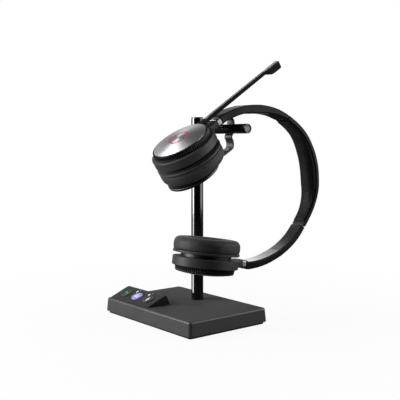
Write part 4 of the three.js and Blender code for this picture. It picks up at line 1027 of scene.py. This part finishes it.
def head_pad():
    """The padded strip inside the headband, crowned across and tapering to its ends, with a sewn edge along each side."""
    last = len(frame_outer) - 1
    a0, a1 = 4, last - 4
    idx = list(range(a0, a1 + 1, 1))
    table = [1.1, 1.2, 1.7, 3.7, 6.1, 7.6, 8.1, 7.2, 4.9, 2.4, 1.3, 1.1]  # the foam stands a little proud of the plain CAD pad

    def depth(s):
        u = min(max(s, 0), 1) * (len(table) - 1)
        k = min(int(u), len(table) - 2)
        f = u - k
        p, q, r, w = table[max(k - 1, 0)], table[k], table[k + 1], table[min(k + 2, len(table) - 1)]
        return q + 0.5 * f * (r - p + f * (2 * p - 5 * q + 4 * r - w + f * (3 * (q - r) + w - p)))

    sections = []
    for i in idx:
        s = i / last
        t = depth(s)
        half = band_half(s, frame_outer[i]) - 0.5
        # across the strip: back edge, side, face, side; x across and d the depth from the frame
        side = t * 0.5
        ring = [(-half + 0.25, 0.0)]
        ring += [(-half + 0.02, side * 0.25), (-half, side * 0.6), (-half + 0.05, side)]
        n_face = 19
        for k in range(n_face + 1):
            u = -math.cos(math.pi * (k + 0.6) / (n_face + 1.2))
            ring.append((u * (half - 0.06), side + (t - side) * 0.93 * max(1 - abs(u) ** 3.6, 0) ** 0.6))
        ring += [(half - 0.05, side), (half, side * 0.6), (half - 0.02, side * 0.25), (half - 0.25, 0.0)]
        for k in range(1, 12):
            ring.append((half - 0.25 - (2 * half - 0.5) * k / 12, 0.0))
        sections.append(ring)
    n = len(sections[0])
    lines = {}
    out = []
    for ring, i in zip(sections, idx):
        a, b = frame_outer[max(i - 1, 0)], frame_outer[min(i + 1, last)]
        d = (b - a) / np.linalg.norm(b - a)
        nrm = np.array([d[1], -d[0]])
        c = frame_outer[i] + nrm * 4.8
        out.append([(HEADSET_X + x, c[0] + nrm[0] * q, c[1] + nrm[1] * q) for x, q in ring])
    part = loft(out)
    # the two ends are closed by the loft's caps, and the two rings at each end are pinned so that the cloth closes
    # softly
    pinned = []
    for r in range(len(out)):
        for k in range(n):
            back = k == 0 or k >= 27
            pinned.append(1.0 if back or r < 2 or r > len(out) - 3 else (0.5 if k in (3, 4, 23, 24) else 0.0))
    co, faces = inflate(part, "headband_pad", pinned, 9.0, 0.7)
    # seams along both sides, and slow unevenness of the foam
    res = []
    for v, p in enumerate(co):
        r, k = divmod(v, n)
        i = idx[r]
        a, b = frame_outer[max(i - 1, 0)], frame_outer[min(i + 1, last)]
        d = (b - a) / np.linalg.norm(b - a)
        nrm = np.array([d[1], -d[0]])
        s = i / last
        pull = 0.0
        if 1 <= k <= 26:
            near = max(math.exp(-((k - 3.5) / 0.8) ** 2), math.exp(-((k - 23.5) / 0.8) ** 2))
            pull = 0.28 * near * min(1, depth(s) / 2.5)
            ridge = max(math.exp(-((k - 7.0) / 0.7) ** 2), math.exp(-((k - 20.0) / 0.7) ** 2))
            pull += 0.30 * ridge * min(1, max(0, depth(s) - 1.2) / 2)
            pull += 0.10 * noise.noise(Vector((p[0] * 0.12, p[1] * 0.09, p[2] * 0.09)))
        res.append((p[0] - (0.1 * math.copysign(1, p[0] - HEADSET_X) if 1 <= k <= 26 and pull > 0.2 else 0), p[1] - nrm[0] * pull, p[2] - nrm[1] * pull))
    lim = np.array(res)
    ob = raw_object("headband_pad_padded", ([tuple(p) for p in lim], faces))
    s = ob.modifiers.new("round", "SUBSURF")
    s.levels = s.render_levels = 1
    bake(ob)
    finish_piece(ob, "headband", LEATHER_PAD, ["headband_pad"], sharp=0, weighted=False)
    return ob


head_pad()

# ------------------------------------------------------------------ CAD nodes that show through openings or stay inside keep their mesh and get a finish
CARRIED = {
    "base_bottom_plate": STEEL, "base_screw_left": STEEL, "base_screw_right": STEEL, "ballast_plate": STEEL, "base_circuit_board": BOARD, "usb_socket": STEEL, "pole_bolt": STEEL,
    "headset_circuit_board": BOARD, "battery": CELL, "upper_speaker_driver": BLACK, "lower_speaker_driver": BLACK, "upper_swivel_pin": STEEL, "lower_swivel_pin": STEEL,
}
for name, material in CARRIED.items():
    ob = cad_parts[name]
    if not ob.material_slots:
        ob.data.materials.append(material)
    for s in ob.material_slots:
        s.link = "OBJECT"
        s.material = material

# ------------------------------------------------------------------ stage: pale floor, soft light, camera
LIGHT = {"key": 16.5, "edge": 2.5, "top": 0.2, "high": 1.5, "disc": 3.8, "fill": 2.8, "back": 4.2, "right": 9.0, "side": 3.1, "arm": 6.0, "room": 0.03, "shiny": 0.015}
FLOOR_BOUNCE = 0.05
me = bpy.data.meshes.new("floor")
R = 6.0
me.from_pydata([(-R, -R, -0.0003), (R, -R, -0.0003), (R, R, -0.0003), (-R, R, -0.0003)], [], [(0, 1, 2, 3)])
floor = bpy.data.objects.new("floor", me)
bpy.context.scene.collection.objects.link(floor)
fm = bpy.data.materials.new("floor_pale")
fm.use_nodes = True
t = fm.node_tree
t.nodes.clear()
place = node(t, "ShaderNodeTexCoord").outputs["Object"]
away = node(t, "ShaderNodeVectorMath", {"operation": "LENGTH"}, i0=place).outputs["Value"]
far = ranged(t, away, 0.0, 1.0, 0.12, 0.4)
grain = node(t, "ShaderNodeTexNoise", Vector=place, Scale=60.0, Detail=3.0).outputs[0]
path = node(t, "ShaderNodeLightPath")
seen = path.outputs["Is Camera Ray"]
# pale to the eye, but only a little of its light comes back onto the object
tone = mix_colour(t, seen, (FLOOR_BOUNCE, FLOOR_BOUNCE, FLOOR_BOUNCE, 1), mix_colour(t, grain, (0.86, 0.86, 0.865, 1), (0.88, 0.88, 0.88, 1)))
diffuse = node(t, "ShaderNodeBsdfDiffuse", Color=tone)
white = node(t, "ShaderNodeEmission", Color=(1, 1, 1, 1), Strength=1.0)
share = node(t, "ShaderNodeMath", {"operation": "MULTIPLY"}, i0=ranged(t, far, 0.93, 1.0), i1=seen).outputs[0]
mixed = node(t, "ShaderNodeMixShader", i0=share, i1=diffuse.outputs[0], i2=white.outputs[0])
out = node(t, "ShaderNodeOutputMaterial", Surface=mixed.outputs[0])
me.materials.append(fm)

world = bpy.data.worlds.new("studio")
bpy.context.scene.world = world
world.use_nodes = True
t = world.node_tree
t.nodes.clear()
path = node(t, "ShaderNodeLightPath")
seen = node(t, "ShaderNodeBackground", Color=(1, 1, 1, 1), Strength=1.0)
room = node(t, "ShaderNodeBackground", Color=(1, 1, 1, 1), Strength=LIGHT["room"])
shiny = node(t, "ShaderNodeBackground", Color=(1, 1, 1, 1), Strength=LIGHT["shiny"])
inner = node(t, "ShaderNodeMixShader", i0=path.outputs["Is Glossy Ray"], i1=room.outputs[0], i2=shiny.outputs[0])
outer = node(t, "ShaderNodeMixShader", i0=path.outputs["Is Camera Ray"], i1=inner.outputs[0], i2=seen.outputs[0])
node(t, "ShaderNodeOutputWorld", Surface=outer.outputs[0])


def softbox(name, place, target, width, height, power, glossy=True, diffuse=True):
    light = bpy.data.lights.new(name, "AREA")
    light.shape, light.size, light.size_y, light.energy = "RECTANGLE", width, height, power
    ob = bpy.data.objects.new(name, light)
    ob.location = place
    ob.rotation_mode = "QUATERNION"
    ob.rotation_quaternion = (Vector(target) - Vector(place)).to_track_quat("-Z", "Y")
    ob.visible_camera = False
    ob.visible_glossy = glossy
    ob.visible_diffuse = diffuse
    bpy.context.scene.collection.objects.link(ob)
    return ob


AIM = (0.02, 0.0, 0.11)
# flags keep most of the broad light off the brushed discs
discs = bpy.data.collections.new("brushed_discs")
flagged = bpy.data.collections.new("flagged_discs")
for name in ("upper_cover_plate_detail", "lower_cover_plate_detail", "multifunction_button_detail"):
    discs.objects.link(bpy.data.objects[name])
    flagged.objects.link(bpy.data.objects[name])
for item in flagged.collection_objects:
    item.light_linking.link_state = "EXCLUDE"
for broad in (
    softbox("front_left_box", (-0.50, -0.83, 0.30), AIM, 0.5, 0.8, LIGHT["key"]),
    softbox("top_box", (0.0, -0.1, 0.95), AIM, 0.8, 0.8, LIGHT["top"]),
    softbox("left_high_box", (-0.59, -0.41, 0.92), (0.04, -0.036, 0.175), 0.35, 0.35, LIGHT["high"]),
):
    broad.light_linking.receiver_collection = flagged
softbox("back_wall", (-0.93, 0.757, 0.45), (0.0, 0.0, 0.3), 2.4, 0.9, LIGHT["back"])
band_dark, band_lit = bpy.data.collections.new("band_flagged"), bpy.data.collections.new("band_lit")
for name in ("upper_arm_detail", "lower_arm_detail", "headband_frame_detail", "headband_pad_padded", "boom_arm_detail", "microphone_capsule_detail", "upper_collar_detail", "lower_collar_detail"):
    band_dark.objects.link(bpy.data.objects[name])
    band_lit.objects.link(bpy.data.objects[name])
for item in band_dark.collection_objects:
    item.light_linking.link_state = "EXCLUDE"
softbox("right_wall", (0.64, 0.75, 0.45), (0.0, 0.0, 0.3), 1.1, 0.9, LIGHT["right"]).light_linking.receiver_collection = band_dark
softbox("right_wall_band", (0.64, 0.75, 0.45), (0.0, 0.0, 0.3), 1.1, 0.9, LIGHT["side"]).light_linking.receiver_collection = band_lit
softbox("disc_box", (-0.62, -0.40, 0.90), (0.04, -0.036, 0.175), 0.5, 0.4, LIGHT["disc"]).light_linking.receiver_collection = discs
# a low card that only fills the side of the upper cup
cup_only = bpy.data.collections.new("upper_cup_only")
for name in ("upper_housing_detail", "upper_ear_cushion_padded", "upper_carrier_detail"):
    cup_only.objects.link(bpy.data.objects[name])
softbox("upper_fill", (0.62, -0.62, 0.06), (0.04, -0.03, 0.165), 0.5, 0.5, LIGHT["fill"]).light_linking.receiver_collection = cup_only
# a wall of light that only the inside of the lower arm mirrors
arm_only = bpy.data.collections.new("lower_arm_only")
arm_only.objects.link(bpy.data.objects["lower_arm_detail"])
softbox("arm_wall", (-0.93, 0.62, 0.5), (0.04, 0.07, 0.06), 1.0, 0.7, LIGHT["arm"], diffuse=False).light_linking.receiver_collection = arm_only
# two upright strips that only draw the highlight down the polished pole
pole_only = bpy.data.collections.new("polished_pole")
for name in ("pole_tube", "pole_cap_detail"):
    pole_only.objects.link(bpy.data.objects[name])
for strip in (
    softbox("pole_strip", (-0.174, -0.262, 0.255), (0.0, 0.02, 0.255), 0.15, 0.5, LIGHT["edge"], diffuse=False),
    softbox("pole_strip_low", (-0.022, -0.010, 0.0354), (-0.0038, 0.02, 0.0354), 0.0175, 0.0383, LIGHT["edge"] * 0.009, diffuse=False),
):
    strip.light_linking.receiver_collection = pole_only

cam = bpy.data.cameras.new("camera")
camera = bpy.data.objects.new("camera", cam)
bpy.context.scene.collection.objects.link(camera)
cam.sensor_width, cam.lens = 36.0, 65.36
cam.clip_start, cam.clip_end = 0.01, 30.0
az, pitch = rad(50.895), rad(4.573)
forward = Vector((-math.sin(az) * math.cos(pitch), math.cos(az) * math.cos(pitch), -math.sin(pitch)))
camera.location = Vector((557.43, -432.7, 173.05)) * MM
camera.rotation_mode = "QUATERNION"
camera.rotation_quaternion = forward.to_track_quat("-Z", "Y")
bpy.context.scene.camera = camera
bpy.context.scene.view_settings.view_transform = "Standard"
bpy.context.scene.view_settings.look = "None"
